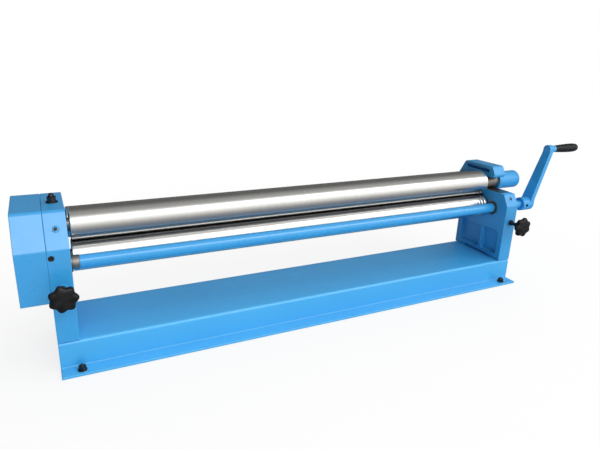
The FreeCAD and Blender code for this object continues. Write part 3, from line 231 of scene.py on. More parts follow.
def steel_group():
    """Bare steel: fine tool marks stretched one way, stains, oil, bright rubbed edges."""
    ring_share, rubbed_share, mark_share, stain_share = 0.12, 0.6, 0.07, 0.4
    tree, given, result = start_group(
        "steel skin",
        {"Bright": ("Color", (0.62, 0.62, 0.61, 1)), "Stained": ("Color", (0.36, 0.33, 0.29, 1)),
         "Rubbed": ("Color", (0.72, 0.72, 0.72, 1)), "Marks": ("Vector", (900.0, 6.0, 6.0)),
         "Mark Depth": ("Float", 0.3), "Stain": ("Float", 0.2), "Polish": ("Float", 0.12),
         "Edge": ("Float", 0.0)},
        {"Color": "Color", "Roughness": "Float", "Height": "Float"})
    where = put(tree, "TexCoord").outputs["Object"]
    stretched = put(tree, "VectorMath", {"operation": "MULTIPLY"})
    tree.links.new(where, stretched.inputs[0])
    tree.links.new(given["Marks"], stretched.inputs[1])
    marks = noise(tree, stretched.outputs[0], scale=1.0, detail=3.0, rough=0.6)
    stains = noise(tree, where, scale=17.0, detail=6.0, rough=0.65)
    dark = times(tree, span(tree, stains, low=0.48, high=0.74), given["Stain"])
    tone = blend_colour(tree, dark, given["Bright"], given["Stained"])
    rings = times(tree, span(tree, marks, low=0.4, high=0.65), ring_share)
    tone = blend_colour(tree, rings, tone, given["Stained"])
    tone = blend_colour(tree, times(tree, given["Edge"], rubbed_share), tone, given["Rubbed"])
    tree.links.new(tone, result["Color"])
    wave = times(tree, span(tree, marks, low=0.3, high=0.7), mark_share)
    rough = math_node(tree, "ADD", math_node(tree, "ADD", given["Polish"], wave),
                      times(tree, dark, stain_share))
    tree.links.new(rough, result["Roughness"])
    tree.links.new(times(tree, marks, given["Mark Depth"]), result["Height"])
    return tree


steel_skin = steel_group()


def steel_material(name, values, relief):
    return skinned_material(name, {"Metallic": 1.0}, {"Radius": 0.0006, "Break Up": 0.3},
                            steel_skin, values, relief)


def dress(material, *names):
    """Gives every slot of these solids one finish."""
    for name in names:
        for slot in solid[name].material_slots:
            slot.material = material


def seat(name, shape, finishes, body, slot, *stands_for):
    """Makes a bmesh a piece on its body; only edges over the crisp angle stay sharp."""
    crisp = math.radians(38.0)
    for face in shape.faces:
        face.smooth = True
    for edge in shape.edges:
        edge.smooth = edge.calc_face_angle(0.0) < crisp
    mesh = bpy.data.meshes.new(name)
    shape.to_mesh(mesh)
    shape.free()
    for finish in finishes:
        mesh.materials.append(finish)
    piece = bpy.data.objects.new(name, mesh)
    bpy.context.scene.collection.objects.link(piece)
    evened = piece.modifiers.new("even shading", "WEIGHTED_NORMAL")
    evened.keep_sharp = True
    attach(piece, body)
    if stands_for:
        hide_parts(*stands_for)
    return piece


def merged_copy(node):
    """A node's mesh as one welded skin, its flat triangles joined into whole faces."""
    shape = bmesh.new()
    shape.from_mesh(solid[node].data)
    bmesh.ops.remove_doubles(shape, verts=shape.verts, dist=1e-6)
    bmesh.ops.dissolve_limit(shape, angle_limit=math.radians(0.4),
                             use_dissolve_boundaries=False, verts=shape.verts, edges=shape.edges)
    return shape


def ease_edges(shape, radius, chosen=lambda edge: True, least=30.0):
    """Rounds the sharp edges of a welded skin; least is the smallest bend, in degrees."""
    sharp = [edge for edge in shape.edges
             if edge.is_manifold and edge.calc_face_angle(0.0) > math.radians(least)
             and chosen(edge)]
    bmesh.ops.bevel(shape, geom=sharp, offset=radius, offset_type="OFFSET", segments=3,
                    profile=0.5, affect="EDGES", clamp_overlap=False, material=-1)


def turn(shape, profile, place, axis, steps, closed=False):
    """Spins (distance along the axis, radius) points into a turned skin."""
    axis = Vector(axis).normalized()
    across = axis.orthogonal().normalized()
    points = [shape.verts.new(Vector(place) + axis * along + across * radius)
              for along, radius in profile]
    lines = [shape.edges.new(pair) for pair in zip(points, points[1:])]
    if closed:
        lines.append(shape.edges.new((points[-1], points[0])))
    bmesh.ops.spin(shape, geom=points + lines, cent=place, axis=axis, angle=2 * math.pi,
                   steps=steps, use_merge=True)
    bmesh.ops.remove_doubles(shape, verts=shape.verts, dist=1e-7)
    bmesh.ops.recalc_face_normals(shape, faces=shape.faces)


def edges_of(ring):
    return list(dict.fromkeys(edge for corner in ring for edge in corner.link_edges))


def hexagon_skin(shape, place, axis, flats, height, bore=0.0):
    """A nut or bolt head: flats drawn in to chamfered ends, with an open or closed middle."""
    half, steps = flats / 2, 72
    chamfer, end_share = math.radians(30), 0.97
    rings = []
    for level in range(4):
        ring = bmesh.ops.create_circle(shape, segments=steps, radius=half)["verts"]
        for corner in ring:
            angle = math.atan2(corner.co.y, corner.co.x)
            from_flat = (angle + math.pi / 6) % (math.pi / 3) - math.pi / 6
            reach = half / math.cos(from_flat)
            drop = (reach - half) * math.tan(chamfer)
            if level in (0, 3):
                reach = min(reach, half * end_share)
                drop = 0.0
            lift = drop if level < 2 else height - drop
            corner.co = Vector((reach * math.cos(angle), reach * math.sin(angle), lift))
        rings.append(ring)
    loops = [edges_of(ring) for ring in rings]
    for low, high in zip(loops, loops[1:]):
        bmesh.ops.bridge_loops(shape, edges=low + high)
    if bore > 0:
        ends = []
        for lift in (0.0, height):
            ring = bmesh.ops.create_circle(shape, segments=steps, radius=bore / 2,
                                           matrix=Matrix.Translation((0, 0, lift)))["verts"]
            ends.append(edges_of(ring))
            rings.append(ring)
        bmesh.ops.bridge_loops(shape, edges=loops[0] + ends[0])
        bmesh.ops.bridge_loops(shape, edges=loops[-1] + ends[1])
        bmesh.ops.bridge_loops(shape, edges=ends[0] + ends[1])
    else:
        bmesh.ops.contextual_create(shape, geom=loops[0])
        bmesh.ops.contextual_create(shape, geom=loops[-1])
    tip_over = Vector((0, 0, 1)).rotation_difference(Vector(axis).normalized())
    bmesh.ops.transform(shape, matrix=Matrix.Translation(place) @ tip_over.to_matrix().to_4x4(),
                        verts=[corner for ring in rings for corner in ring])
    bmesh.ops.recalc_face_normals(shape, faces=shape.faces)


def thread_ridge(shape, place, axis, start, finish, outer, depth, pitch):
    """The raised helix of a screw thread, from start to finish along the axis."""
    steps = 20
    axis = Vector(axis).normalized()
    across = axis.orthogonal().normalized()
    base, flank, crest = outer - 1.25 * depth, 0.47 * pitch, 0.1 * pitch
    corners = [shape.verts.new(Vector(place) + axis * (start + along) + across * radius)
               for along, radius in ((-flank, base), (-crest, outer), (crest, outer),
                                     (flank, base))]
    section = shape.faces.new(corners)
    turns = max(1, int((finish - start) / pitch))
    bmesh.ops.spin(shape, geom=[section], cent=place, axis=axis, dvec=axis * (pitch / steps),
                   angle=2 * math.pi * turns, steps=turns * steps, use_merge=False)
    bmesh.ops.recalc_face_normals(shape, faces=shape.faces)


def washer_outline(thickness, reach, hole=0.0):
    """A washer's section for turning, its upper rim taken off."""
    return [(0.0, hole), (0.0, reach), (thickness - 0.0005, reach), (thickness, reach - 0.0006),
            (thickness, hole)]


base_enamel = enamel_material(
    "base enamel", 0.003, 0.3,
    {"Blue": (0.062, 0.46, 0.90, 1), "Deep": (0.036, 0.35, 0.78, 1), "Grain Scale": 520.0,
     "Grain": 0.22, "Dust": 0.07, "Gloss": 0.32}, relief=0.0006)
sheet_edge = 0.0008
shape = merged_copy("base_channel")
ease_edges(shape, sheet_edge)
seat("folded_base", shape, [base_enamel], "frame", "blue_paint", "base_channel")

black_steel = steel_material(
    "black oxide steel",
    {"Bright": (0.075, 0.075, 0.08, 1), "Stained": (0.03, 0.028, 0.026, 1),
     "Rubbed": (0.24, 0.24, 0.25, 1), "Marks": (120.0, 120.0, 120.0), "Stain": 0.5,
     "Polish": 0.34, "Mark Depth": 0.4}, relief=0.00015)

flange_thickness = 0.006
flange_hole_x, flange_hole_y = 0.637, 0.1225
washer_radius, washer_thickness = 0.0105, 0.002
nut_flats, nut_height = 0.016, 0.008
stud_radius, stud_tip, stud_end, stud_chamfer = 0.005, 0.0026, 0.0045, 0.0015
stud_thread, stud_pitch, stud_thread_stop = 0.0008, 0.00175, 0.002
nut_top = washer_thickness + nut_height
stud_top, stud_root, stud_start = nut_top + stud_end, stud_radius - stud_thread, nut_top - 0.001
shape = bmesh.new()
for x in (-flange_hole_x, flange_hole_x):
    for y in (-flange_hole_y, flange_hole_y):
        foot = Vector((x, y, flange_thickness))
        turn(shape, washer_outline(washer_thickness, washer_radius), foot, (0, 0, 1), 40)
        hexagon_skin(shape, foot + Vector((0, 0, washer_thickness)), (0, 0, 1), nut_flats,
                     nut_height)
        turn(shape, [(stud_start, 0.0), (stud_start, stud_root),
                     (stud_top - stud_chamfer, stud_root), (stud_top, stud_tip),
                     (stud_top, 0.0)], foot, (0, 0, 1), 32)
        thread_ridge(shape, foot, (0, 0, 1), nut_top, stud_top - stud_thread_stop, stud_radius,
                     stud_thread, stud_pitch)
seat("flange_nuts", shape, [black_steel], "frame", "fastener_steel")
dress(black_steel, "hold_down_bolts")

# ---- side frames ------------------------------------------------------------------------
# Two grey-iron castings, filled, sprayed the same blue, then milled where the bearings and the
# roll slot are, so those faces are bare and oily. A pressed-in oiler sits in each front.

cast_enamel = enamel_material(
    "cast enamel", 0.0022, 0.35,
    {"Grain Scale": 240.0, "Grain": 0.55, "Dust": 0.06, "Gloss": 0.31}, relief=0.0009)
milled_iron = steel_material(
    "milled iron",
    {"Bright": (0.17, 0.145, 0.125, 1), "Stained": (0.035, 0.027, 0.02, 1),
     "Rubbed": (0.42, 0.39, 0.36, 1), "Marks": (30.0, 420.0, 420.0), "Stain": 0.85,
     "Polish": 0.3, "Mark Depth": 0.7}, relief=0.00015)

pinch_y, upper_z, lower_z = 0.0125, 0.309, 0.232
rear_y, rear_z = 0.1005, 0.286
drive_y, drive_z = -0.0424, 0.2355
milled_rounds = ((pinch_y, lower_z, 0.036), (rear_y, rear_z, 0.046), (drive_y, drive_z, 0.0185))
pocket_floor, outer_face = 0.643, 0.681
slot_half, swing_pocket_y, swing_pocket_z = 0.0201, 0.0306, 0.0346
lip_top, lip_milled_to, hook_milled_to = upper_z - slot_half + 0.0001, -0.066, -0.0845


def is_milled(face, side):
    """Walls and floors of the bearing pockets, the roll slot and the drive bore."""
    middle = face.calc_center_median()
    from_upper_y, from_upper_z = abs(middle.y - pinch_y), abs(middle.z - upper_z)
    faces_along = abs(face.normal.x) > 0.7
    if faces_along and abs(abs(middle.x) - pocket_floor) > 0.0008:
        return False
    if side > 0 and middle.y < pinch_y + slot_half and from_upper_z < slot_half + 0.0006:
        return middle.y > (lip_milled_to if middle.z < upper_z else hook_milled_to)
    for y, z, reach in milled_rounds:
        towards = face.normal.y * (y - middle.y) + face.normal.z * (z - middle.z)
        if math.hypot(middle.y - y, middle.z - z) < reach and (towards > 0 or faces_along):
            return True
    return side < 0 and from_upper_y < swing_pocket_y and from_upper_z < swing_pocket_z


cover_screw_x, cover_screw_heights, counterbore_reach = -0.673, (0.180, 0.273), 0.0085
pockets_above, pocket_reach, skin_depth = 0.175, 0.042, 0.001


def may_be_eased(edge):
    """False at the cover screws' counterbores, which have little land, and inside pockets."""
    middle = (edge.verts[0].co + edge.verts[1].co) / 2
    out = abs(middle.x)
    hidden = out < outer_face - skin_depth and max(
        abs(middle.y - pinch_y), abs(middle.z - lower_z)) < pocket_reach
    in_pocket = middle.z > pockets_above and out > pocket_floor - skin_depth
    if in_pocket and (hidden or not edge.is_convex):
        return False
    return all(math.hypot(middle.x - cover_screw_x, middle.z - z) > counterbore_reach
               for z in cover_screw_heights)


cast_edge = 0.0014
for node, name, side in (("left_frame", "left_side_frame", -1),
                         ("right_frame", "right_side_frame", 1)):
    shape = merged_copy(node)
    ease_edges(shape, cast_edge, may_be_eased)
    if side > 0:
        lip = [face for face in shape.faces if face.normal.z > 0.99
               and abs(face.calc_center_median().z - lip_top) < 0.0005]
        around = {edge for face in lip for edge in face.edges}
        bmesh.ops.bisect_plane(shape, geom=lip + list(around), plane_co=(0, lip_milled_to, 0),
                               plane_no=(0, 1, 0))
    for face in shape.faces:
        face.material_index = 1 if is_milled(face, side) else 0
    seat(name, shape, [cast_enamel, milled_iron], "frame", "blue_paint", node)

oiler_slope = Vector((0, -0.8685, 0.4957)).normalized()
oiler_places = (Vector((-0.658, -0.0797, 0.3300)), Vector((0.658, -0.0905, 0.2750)))
oiler_ring = ((-0.005, 0.0), (-0.005, 0.0065), (0.0, 0.0065), (0.0003, 0.0060),
              (0.0005, 0.0052), (0.0005, 0.0042), (0.0002, 0.0040), (-0.002, 0.0038),
              (-0.002, 0.003), (-0.0016, 0.0022), (-0.0013, 0.0012), (-0.0012, 0.0))
oiler_mouth, oiler_reach = 0.0041, 0.02
shape = bmesh.new()
for place in oiler_places:
    turn(shape, oiler_ring, place, oiler_slope, 40)
    for face in shape.faces:
        away = face.calc_center_median() - place
        from_axis = (away - oiler_slope * away.dot(oiler_slope)).length
        if away.length < oiler_reach and from_axis < oiler_mouth:
            face.material_index = 1
seat("oilers", shape, [cast_enamel, black_steel], "frame", "fastener_steel", "oil_cups")

# ---- bearings ---------------------------------------------------------------------------
# Mild-steel blocks that slide in the frames' pockets, with sintered bushes pressed in, and the
# round wedges that lift the lower pair; all milled or turned, satin, brown with old oil.

turned_steel = steel_material(
    "turned steel",
    {"Bright": (0.46, 0.45, 0.44, 1), "Stained": (0.2, 0.17, 0.14, 1), "Stain": 0.5,
     "Polish": 0.24, "Mark Depth": 0.6}, relief=0.00012)
dress(turned_steel, "lower_block_left", "lower_block_right", "rear_block_left",
      "rear_block_right", "upper_left_block", "front_wedge_left", "front_wedge_right",
      "pivot_pin")
bush_bronze = steel_material(
    "bearing bronze",
    {"Bright": (0.50, 0.33, 0.17, 1), "Stained": (0.16, 0.09, 0.04, 1),
     "Rubbed": (0.7, 0.5, 0.28, 1), "Marks": (500.0, 20.0, 20.0), "Stain": 0.7,
     "Polish": 0.28, "Mark Depth": 0.5}, relief=0.00012)
dress(bush_bronze, "lower_bushes", "rear_bushes", "upper_bush", "idler_bush")

# ---- rolls ------------------------------------------------------------------------------
# Solid steel bars, turned, then ground between centres to a bright finish. The lower and rear
# rolls have three half-round grooves near the right end, where wire is bent.

ground_steel = steel_material(
    "ground roll steel",
    {"Bright": (0.93, 0.925, 0.91, 1), "Stained": (0.62, 0.58, 0.52, 1),
     "Rubbed": (0.95, 0.95, 0.95, 1), "Marks": (240.0, 5.0, 5.0), "Stain": 0.14,
     "Polish": 0.18, "Mark Depth": 0.2}, relief=0.00002)


def paint_darker_reflection(material, colour, share):
    """Seen in a glossy reflection, this skin's colour is mixed towards a darker one: painted
    shade in its reflections.
    """
    tree = material.node_tree
    base = tree.nodes["Principled BSDF"].inputs["Base Color"]
    clean_tone = base.links[0].from_socket
    mirrored = times(tree, put(tree, "LightPath").outputs["Is Glossy Ray"], share)
    tree.links.new(blend_colour(tree, mirrored, clean_tone, colour), base)


# The rolls seen mirrored in each other get a painted darker reflection.
paint_darker_reflection(ground_steel, (0.3, 0.3, 0.3, 1), 1.0)
dull_turning = steel_material(
    "dull turned ends",
    {"Bright": (0.50, 0.465, 0.425, 1), "Stained": (0.07, 0.058, 0.045, 1),
     "Rubbed": (0.55, 0.52, 0.48, 1), "Marks": (500.0, 30.0, 30.0), "Stain": 0.6,
     "Polish": 0.38, "Mark Depth": 0.6}, relief=0.0001)

roll_radius, roll_chamfer, journal_radius, ground_above = 0.038, 0.0015, 0.015, 0.030
thread_radius, pinion_seat_radius, end_chamfer = 0.010, 0.0125, 0.001
left_end, pinion_outer, pinion_inner = -0.733, -0.723, -0.693
plain_start, plain_end = -0.677, 0.677
centre_drill, drill_depth = 0.0032, 0.006
groove_radii, groove_spacing, groove_inset = (0.0025, 0.0035, 0.0045), 0.012, 0.007
groove_sides = 10


def wire_grooves(stop):
    """Half-round grooves as (along, radius) points, left to right, before a roll's end."""
    points = []
    for place, radius in enumerate(groove_radii):
        middle = stop - groove_inset - groove_spacing * (len(groove_radii) - 1 - place)
        for side in range(groove_sides + 1):
            angle = math.pi * side / groove_sides
            points.append((middle - radius * math.cos(angle),
                           roll_radius - radius * math.sin(angle)))
    return points


def roll_body(start, stop, grooves):
    return [(start, roll_radius - roll_chamfer), (start + roll_chamfer, roll_radius), *grooves,
            (stop - roll_chamfer, roll_radius), (stop, roll_radius - roll_chamfer)]


def seat_roll(name, profile, y, z, body, node):
    """Turns a roll and seats it: ground outside, with dull journals and end faces."""
    shape = bmesh.new()
    turn(shape, profile, (0, y, z), (1, 0, 0), 160)
    for face in shape.faces:
        middle = face.calc_center_median()
        from_axis = math.hypot(middle.y - y, middle.z - z)
        if from_axis < ground_above or abs(face.normal.x) > 0.9:
            face.material_index = 1
    seat(name, shape, [ground_steel, dull_turning], body, "roll_steel", node)


geared_end = [(left_end + drill_depth, 0.0), (left_end, centre_drill),
              (left_end, thread_radius - end_chamfer), (left_end + end_chamfer, thread_radius),
              (pinion_outer, thread_radius), (pinion_outer, pinion_seat_radius),
              (pinion_inner, pinion_seat_radius), (pinion_inner, journal_radius)]
left_journal = [(plain_start + drill_depth, 0.0), (plain_start, centre_drill),
                (plain_start, journal_radius - end_chamfer),
                (plain_start + end_chamfer, journal_radius)]
right_journal = [(plain_end - end_chamfer, journal_radius),
                 (plain_end, journal_radius - end_chamfer), (plain_end, centre_drill),
                 (plain_end - drill_depth, 0.0)]

upper_start, upper_stop = -0.627, 0.620
shoulder_radius, shoulder_stop = 0.026, 0.632
neck_radius, neck_end, neck_chamfer = 0.015, 0.760, 0.0015
neck = [(upper_stop, shoulder_radius), (shoulder_stop - end_chamfer, shoulder_radius),
        (shoulder_stop, shoulder_radius - end_chamfer), (shoulder_stop, neck_radius),
        (neck_end - neck_chamfer, neck_radius), (neck_end, neck_radius - neck_chamfer),
        (neck_end, centre_drill), (neck_end - drill_depth, 0.0)]
seat_roll("upper_pinch_roll",
          geared_end + [(upper_start, journal_radius)] + roll_body(upper_start, upper_stop, [])
          + neck, pinch_y, upper_z, "upper_roll_set", "upper_roll")

lower_start, lower_stop = -0.628, 0.630
seat_roll("lower_pinch_roll",
          geared_end + [(lower_start, journal_radius)]
          + roll_body(lower_start, lower_stop, wire_grooves(lower_stop))
          + [(lower_stop, journal_radius)] + right_journal,
          pinch_y, lower_z, "lower_roll_set", "lower_roll")

rear_start, rear_stop = -0.630, 0.630
seat_roll("rear_bending_roll",
          left_journal + [(rear_start, journal_radius)]
          + roll_body(rear_start, rear_stop, wire_grooves(rear_stop))
          + [(rear_stop, journal_radius)] + right_journal,
          rear_y, rear_z, "rear_roll_set", "rear_roll")

# ---- swing pivot of the upper roll ------------------------------------------------------
# A black socket screw with a plain tip comes down through the left frame into the swinging
# bearing block, and a hexagon nut and washer lock it on a machined seat.

pivot_x, nut_seat, pivot_low, pivot_top = -0.658, 0.3637, 0.3313, 0.3846
pivot_radius, pivot_tip_radius, pivot_shoulder = 0.0059, 0.0045, 0.3411
pivot_root, pivot_top_radius, pivot_chamfer = 0.0050, 0.0039, 0.0012
pivot_thread, pivot_pitch, pivot_tip_chamfer = 0.0009, 0.00175, 0.0005
socket_radius, socket_floor = 0.0031, 0.3796
shape = bmesh.new()
turn(shape, [(pivot_low, 0.0), (pivot_low, pivot_tip_radius - pivot_tip_chamfer),
             (pivot_low + pivot_tip_chamfer, pivot_tip_radius),
             (pivot_shoulder, pivot_tip_radius), (pivot_shoulder, pivot_root),
             (pivot_top - pivot_chamfer, pivot_root), (pivot_top, pivot_top_radius),
             (pivot_top, socket_radius), (socket_floor, socket_radius), (socket_floor, 0.0)],
     (pivot_x, pinch_y, 0.0), (0, 0, 1), 48)
thread_ridge(shape, (pivot_x, pinch_y, 0.0), (0, 0, 1), pivot_shoulder + 0.001,
             pivot_top - 0.0015, pivot_radius, pivot_thread, pivot_pitch)
seat("swing_pivot_screw", shape, [black_steel], "frame", "fastener_steel", "pivot_bolt")

lock_nut_flats, lock_nut_height = 0.019, 0.0108
pivot_washer, washer_reach = 0.0025, 0.0125
shape = bmesh.new()
turn(shape, washer_outline(pivot_washer, washer_reach, pivot_radius),
     (pivot_x, pinch_y, nut_seat), (0, 0, 1), 48, closed=True)
hexagon_skin(shape, (pivot_x, pinch_y, nut_seat + pivot_washer), (0, 0, 1), lock_nut_flats,
             lock_nut_height, bore=2 * pivot_radius)
seat("swing_pivot_nut", shape, [black_steel], "frame", "fastener_steel", "pivot_lock_nut")

# ---- gear train and cover ---------------------------------------------------------------
# Cut spur gears on their shafts and stud, dark with oil, behind a folded 3 mm cover that is
# held to the left frame by two tabs with socket screws.

gear_steel = steel_material(
    "oiled gear steel",
    {"Bright": (0.30, 0.28, 0.26, 1), "Stained": (0.05, 0.042, 0.035, 1),
     "Marks": (60.0, 60.0, 60.0), "Stain": 0.9, "Polish": 0.3, "Mark Depth": 0.5},
    relief=0.0002)
dress(gear_steel, "drive_gear", "idler_gear", "upper_pinion", "lower_pinion")
dress(turned_steel, "idler_stud")
dress(black_steel, "drive_gear_nut", "upper_pinion_nut", "lower_pinion_nut", "idler_ring",
      "cover_screws")
sheet_enamel = enamel_material(
    "sheet enamel", 0.003, 0.3,
    {"Grain Scale": 520.0, "Grain": 0.22, "Dust": 0.1, "Gloss": 0.26}, relief=0.0006)
cover_edge = 0.0011
shape = merged_copy("gear_cover")
ease_edges(shape, cover_edge)
seat("gear_cover_sheet", shape, [sheet_enamel], "frame", "blue_paint", "gear_cover")

# ---- drive tube and shafts --------------------------------------------------------------
# A blue tube across the machine joins the gear's shaft to the crank's. It runs in flanged
# bushes, dark with grease, and a turned collar with a grub screw holds it from the left.

greasy_bush = steel_material(
    "greasy bush",
    {"Bright": (0.32, 0.28, 0.23, 1), "Stained": (0.06, 0.05, 0.04, 1),
     "Rubbed": (0.4, 0.3, 0.18, 1), "Marks": (60.0, 300.0, 300.0), "Stain": 0.8,
     "Polish": 0.26, "Mark Depth": 0.5}, relief=0.00015)
dress(greasy_bush, "drive_bushes")
dress(turned_steel, "left_drive_shaft")
dress(dull_turning, "drive_collar")
dress(cast_enamel, "crank_shaft")
dress(black_steel, "collar_set_screw", "crank_set_screw")
tube_enamel = enamel_material(
    "tube enamel", 0.002, 0.3,
    {"Grain Scale": 520.0, "Grain": 0.2, "Dust": 0.08, "Gloss": 0.24}, relief=0.0005)
# The tube seen mirrored in the rolls gets a painted darker, bluish reflection.
paint_darker_reflection(tube_enamel, (0.05, 0.10, 0.16, 1), 0.75)
tube_start, tube_stop, tube_radius, tube_bore = -0.6164, 0.6307, 0.015, 0.0115
tube_edge = 0.0006
shape = bmesh.new()
turn(shape, [(tube_start, tube_bore), (tube_start, tube_radius - tube_edge),
             (tube_start + tube_edge, tube_radius), (tube_stop - tube_edge, tube_radius),
             (tube_stop, tube_radius - tube_edge), (tube_stop, tube_bore)],
     (0, drive_y, drive_z), (1, 0, 0), 96, closed=True)
seat("drive_tube_skin", shape, [tube_enamel], "crank", "blue_paint", "drive_tube")

# ---- crank ------------------------------------------------------------------------------
# A flat cast arm with a hub, keyed to its shaft by a set screw on a flat, and leaning outwards
# to a boss. A black moulded grip turns on a steel spindle that is riveted into the boss.

arm_edge, arm_least_bend = 0.0007, 50.0
shape = merged_copy("crank_arm")
ease_edges(shape, arm_edge, least=arm_least_bend)
seat("crank_casting", shape, [cast_enamel], "crank", "blue_paint", "crank_arm")
riveted_end = 0.8412
shape = merged_copy("grip_spindle")
for face in shape.faces:
    if face.calc_center_median().x < riveted_end:
        face.material_index = 1
seat("grip_pin", shape, [turned_steel, cast_enamel], "crank", "machined_steel", "grip_spindle")

resin, tree, shader = start_material("black resin", {"Specular IOR Level": 0.32})
where = put(tree, "TexCoord").outputs["Object"]
rubbed = noise(tree, where, scale=70.0, detail=5.0, rough=0.6)
rubbed = span(tree, rubbed, low=0.38, high=0.7)
tree.links.new(blend_colour(tree, rubbed, (0.006, 0.006, 0.0065, 1), (0.016, 0.016, 0.017, 1)),
               shader.inputs["Base Color"])
tree.links.new(span(tree, rubbed, low=0.0, high=1.0, start=0.3, end=0.46),
               shader.inputs["Roughness"])
bump(tree, noise(tree, where, scale=900.0), None, shader, relief=0.0002)

grip_low, grip_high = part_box("grip")
grip_line = (grip_low + grip_high) / 2
grip_length = grip_high.x - grip_low.x
grip_radius = (grip_high.y - grip_low.y) / 2
grip_bore, rivet_bore, rivet_depth, rivet_chamfer = 0.00505, 0.0066, 0.0065, 0.0004
# Share of the length, and of the radius, from the boss to the end.
grip_shape = ((0.0, 0.62), (0.006, 0.69), (0.02, 0.755), (0.035, 0.775), (0.045, 0.77),
              (0.052, 0.79), (0.12, 0.83), (0.25, 0.885), (0.4, 0.94), (0.55, 0.982),
              (0.68, 0.9995), (0.78, 0.99), (0.86, 0.955), (0.92, 0.895), (0.96, 0.81),
              (0.985, 0.70), (0.997, 0.59), (1.0, 0.52))
profile = [(grip_length * along, grip_radius * share) for along, share in grip_shape]
profile += [(grip_length, rivet_bore + rivet_chamfer), (grip_length - rivet_chamfer, rivet_bore),
            (grip_length - rivet_depth, rivet_bore), (grip_length - rivet_depth, grip_bore),
            (0.0, grip_bore)]
shape = bmesh.new()
turn(shape, profile, (grip_low.x, grip_line.y, grip_line.z), (1, 0, 0), 72, closed=True)
seat("crank_grip", shape, [resin], "grip_sleeve", "black_plastic", "grip")

# ---- release sleeve ---------------------------------------------------------------------
# A turned steel sleeve whose nose carries the right end of the upper roll in the frame's slot.
# Its blue handle is pressed on; pulled out, it frees the roll to swing.

sleeve_low, sleeve_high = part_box("release_sleeve")
nose_radius, nose_chamfer, nose_end = 0.01995, 0.001, 0.682
pipe_radius, sleeve_bore = 0.01905, 0.01505
shape = bmesh.new()
turn(shape, [(sleeve_low.x, sleeve_bore), (sleeve_low.x, nose_radius - nose_chamfer),
             (sleeve_low.x + nose_chamfer, nose_radius), (nose_end, nose_radius),
             (nose_end, pipe_radius), (sleeve_high.x, pipe_radius),
             (sleeve_high.x, sleeve_bore)], (0, pinch_y, upper_z), (1, 0, 0), 96, closed=True)
seat("sleeve_turning", shape, [dull_turning], "release", "machined_steel", "release_sleeve")

handle_low, handle_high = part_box("release_handle")
handle_radius = (handle_high.y - handle_low.y) / 2
handle_bore, cap_inside, rim, cap_round = 0.0191, 0.76805, 0.0015, 0.006
start, stop = handle_low.x, handle_high.x
rounding = [(stop - cap_round * (1 - math.sin(math.radians(angle))),
             handle_radius - cap_round * (1 - math.cos(math.radians(angle))))
            for angle in range(0, 91, 15)]
shape = bmesh.new()
turn(shape, [(cap_inside, 0.0), (cap_inside, handle_bore), (start, handle_bore),
             (start, handle_radius - rim), (start + rim / 3, handle_radius - rim / 3),
             (start + rim, handle_radius), *rounding, (stop, 0.0)],
     (0, pinch_y, upper_z), (1, 0, 0), 96)
seat("release_grip", shape, [cast_enamel], "release", "blue_paint", "release_handle")

# ---- adjusting screws and star knobs ----------------------------------------------------
# Four seven-lobed knobs, moulded from black phenolic resin over steel inserts. The front pair
# turn plain-stemmed screws in glands; the rear pair turn long screws that lift the rear roll.

dress(cast_enamel, "front_gland_left", "front_gland_right")
dress(black_steel, "front_screw_left", "front_screw_right")

knob_lobes, knob_steps, per_metre = 7, 84, 1000
# Distance from the hub's foot, reach, and depth between the lobes, all in millimetres.
knob_rings = ((0.0, 11.2, 0.0), (0.8, 12.0, 0.0), (8.2, 12.0, 0.0), (9.6, 13.0, 0.0),
              (11.5, 17.0, 0.3), (13.5, 22.5, 1.5), (15.2, 27.0, 3.5), (16.6, 29.6, 4.6),
              (18.5, 30.8, 5.0), (21.0, 31.0, 5.0), (23.5, 30.9, 5.0), (25.7, 30.2, 4.9),
              (27.8, 28.2, 4.4), (29.4, 25.0, 3.6), (30.4, 20.5, 2.4), (30.75, 15.5, 1.0),
              (30.9, 11.0, 0.2), (31.0, 6.5, 0.0), (31.0, 2.5, 0.0))


def star_knob(place, outward, mirrored):
    """Lobed rings stacked from the hub to the domed face."""
    shape = bmesh.new()
    rings = []
    for along, reach, depth in knob_rings:
        ring = bmesh.ops.create_circle(shape, segments=knob_steps,
                                       radius=reach / per_metre)["verts"]
        for point in ring:
            angle = math.atan2(point.co.y, point.co.x)
            radius = (reach - depth * (1 - math.cos(knob_lobes * angle)) / 2) / per_metre
            point.co = Vector((along / per_metre, radius * math.cos(angle),
                               radius * math.sin(angle)))
        rings.append(edges_of(ring))
    for low, high in zip(rings, rings[1:]):
        bmesh.ops.bridge_loops(shape, edges=low + high)
    bmesh.ops.contextual_create(shape, geom=rings[0])
    bmesh.ops.contextual_create(shape, geom=rings[-1])
    tip_over = Vector((1, 0, 0)).rotation_difference(outward)
    bmesh.ops.transform(shape, matrix=Matrix.Translation(place) @ tip_over.to_matrix().to_4x4(),
                        verts=shape.verts)
    if mirrored:
        bmesh.ops.scale(shape, vec=(-1, 1, 1), verts=shape.verts)
    bmesh.ops.recalc_face_normals(shape, faces=shape.faces)
    return shape


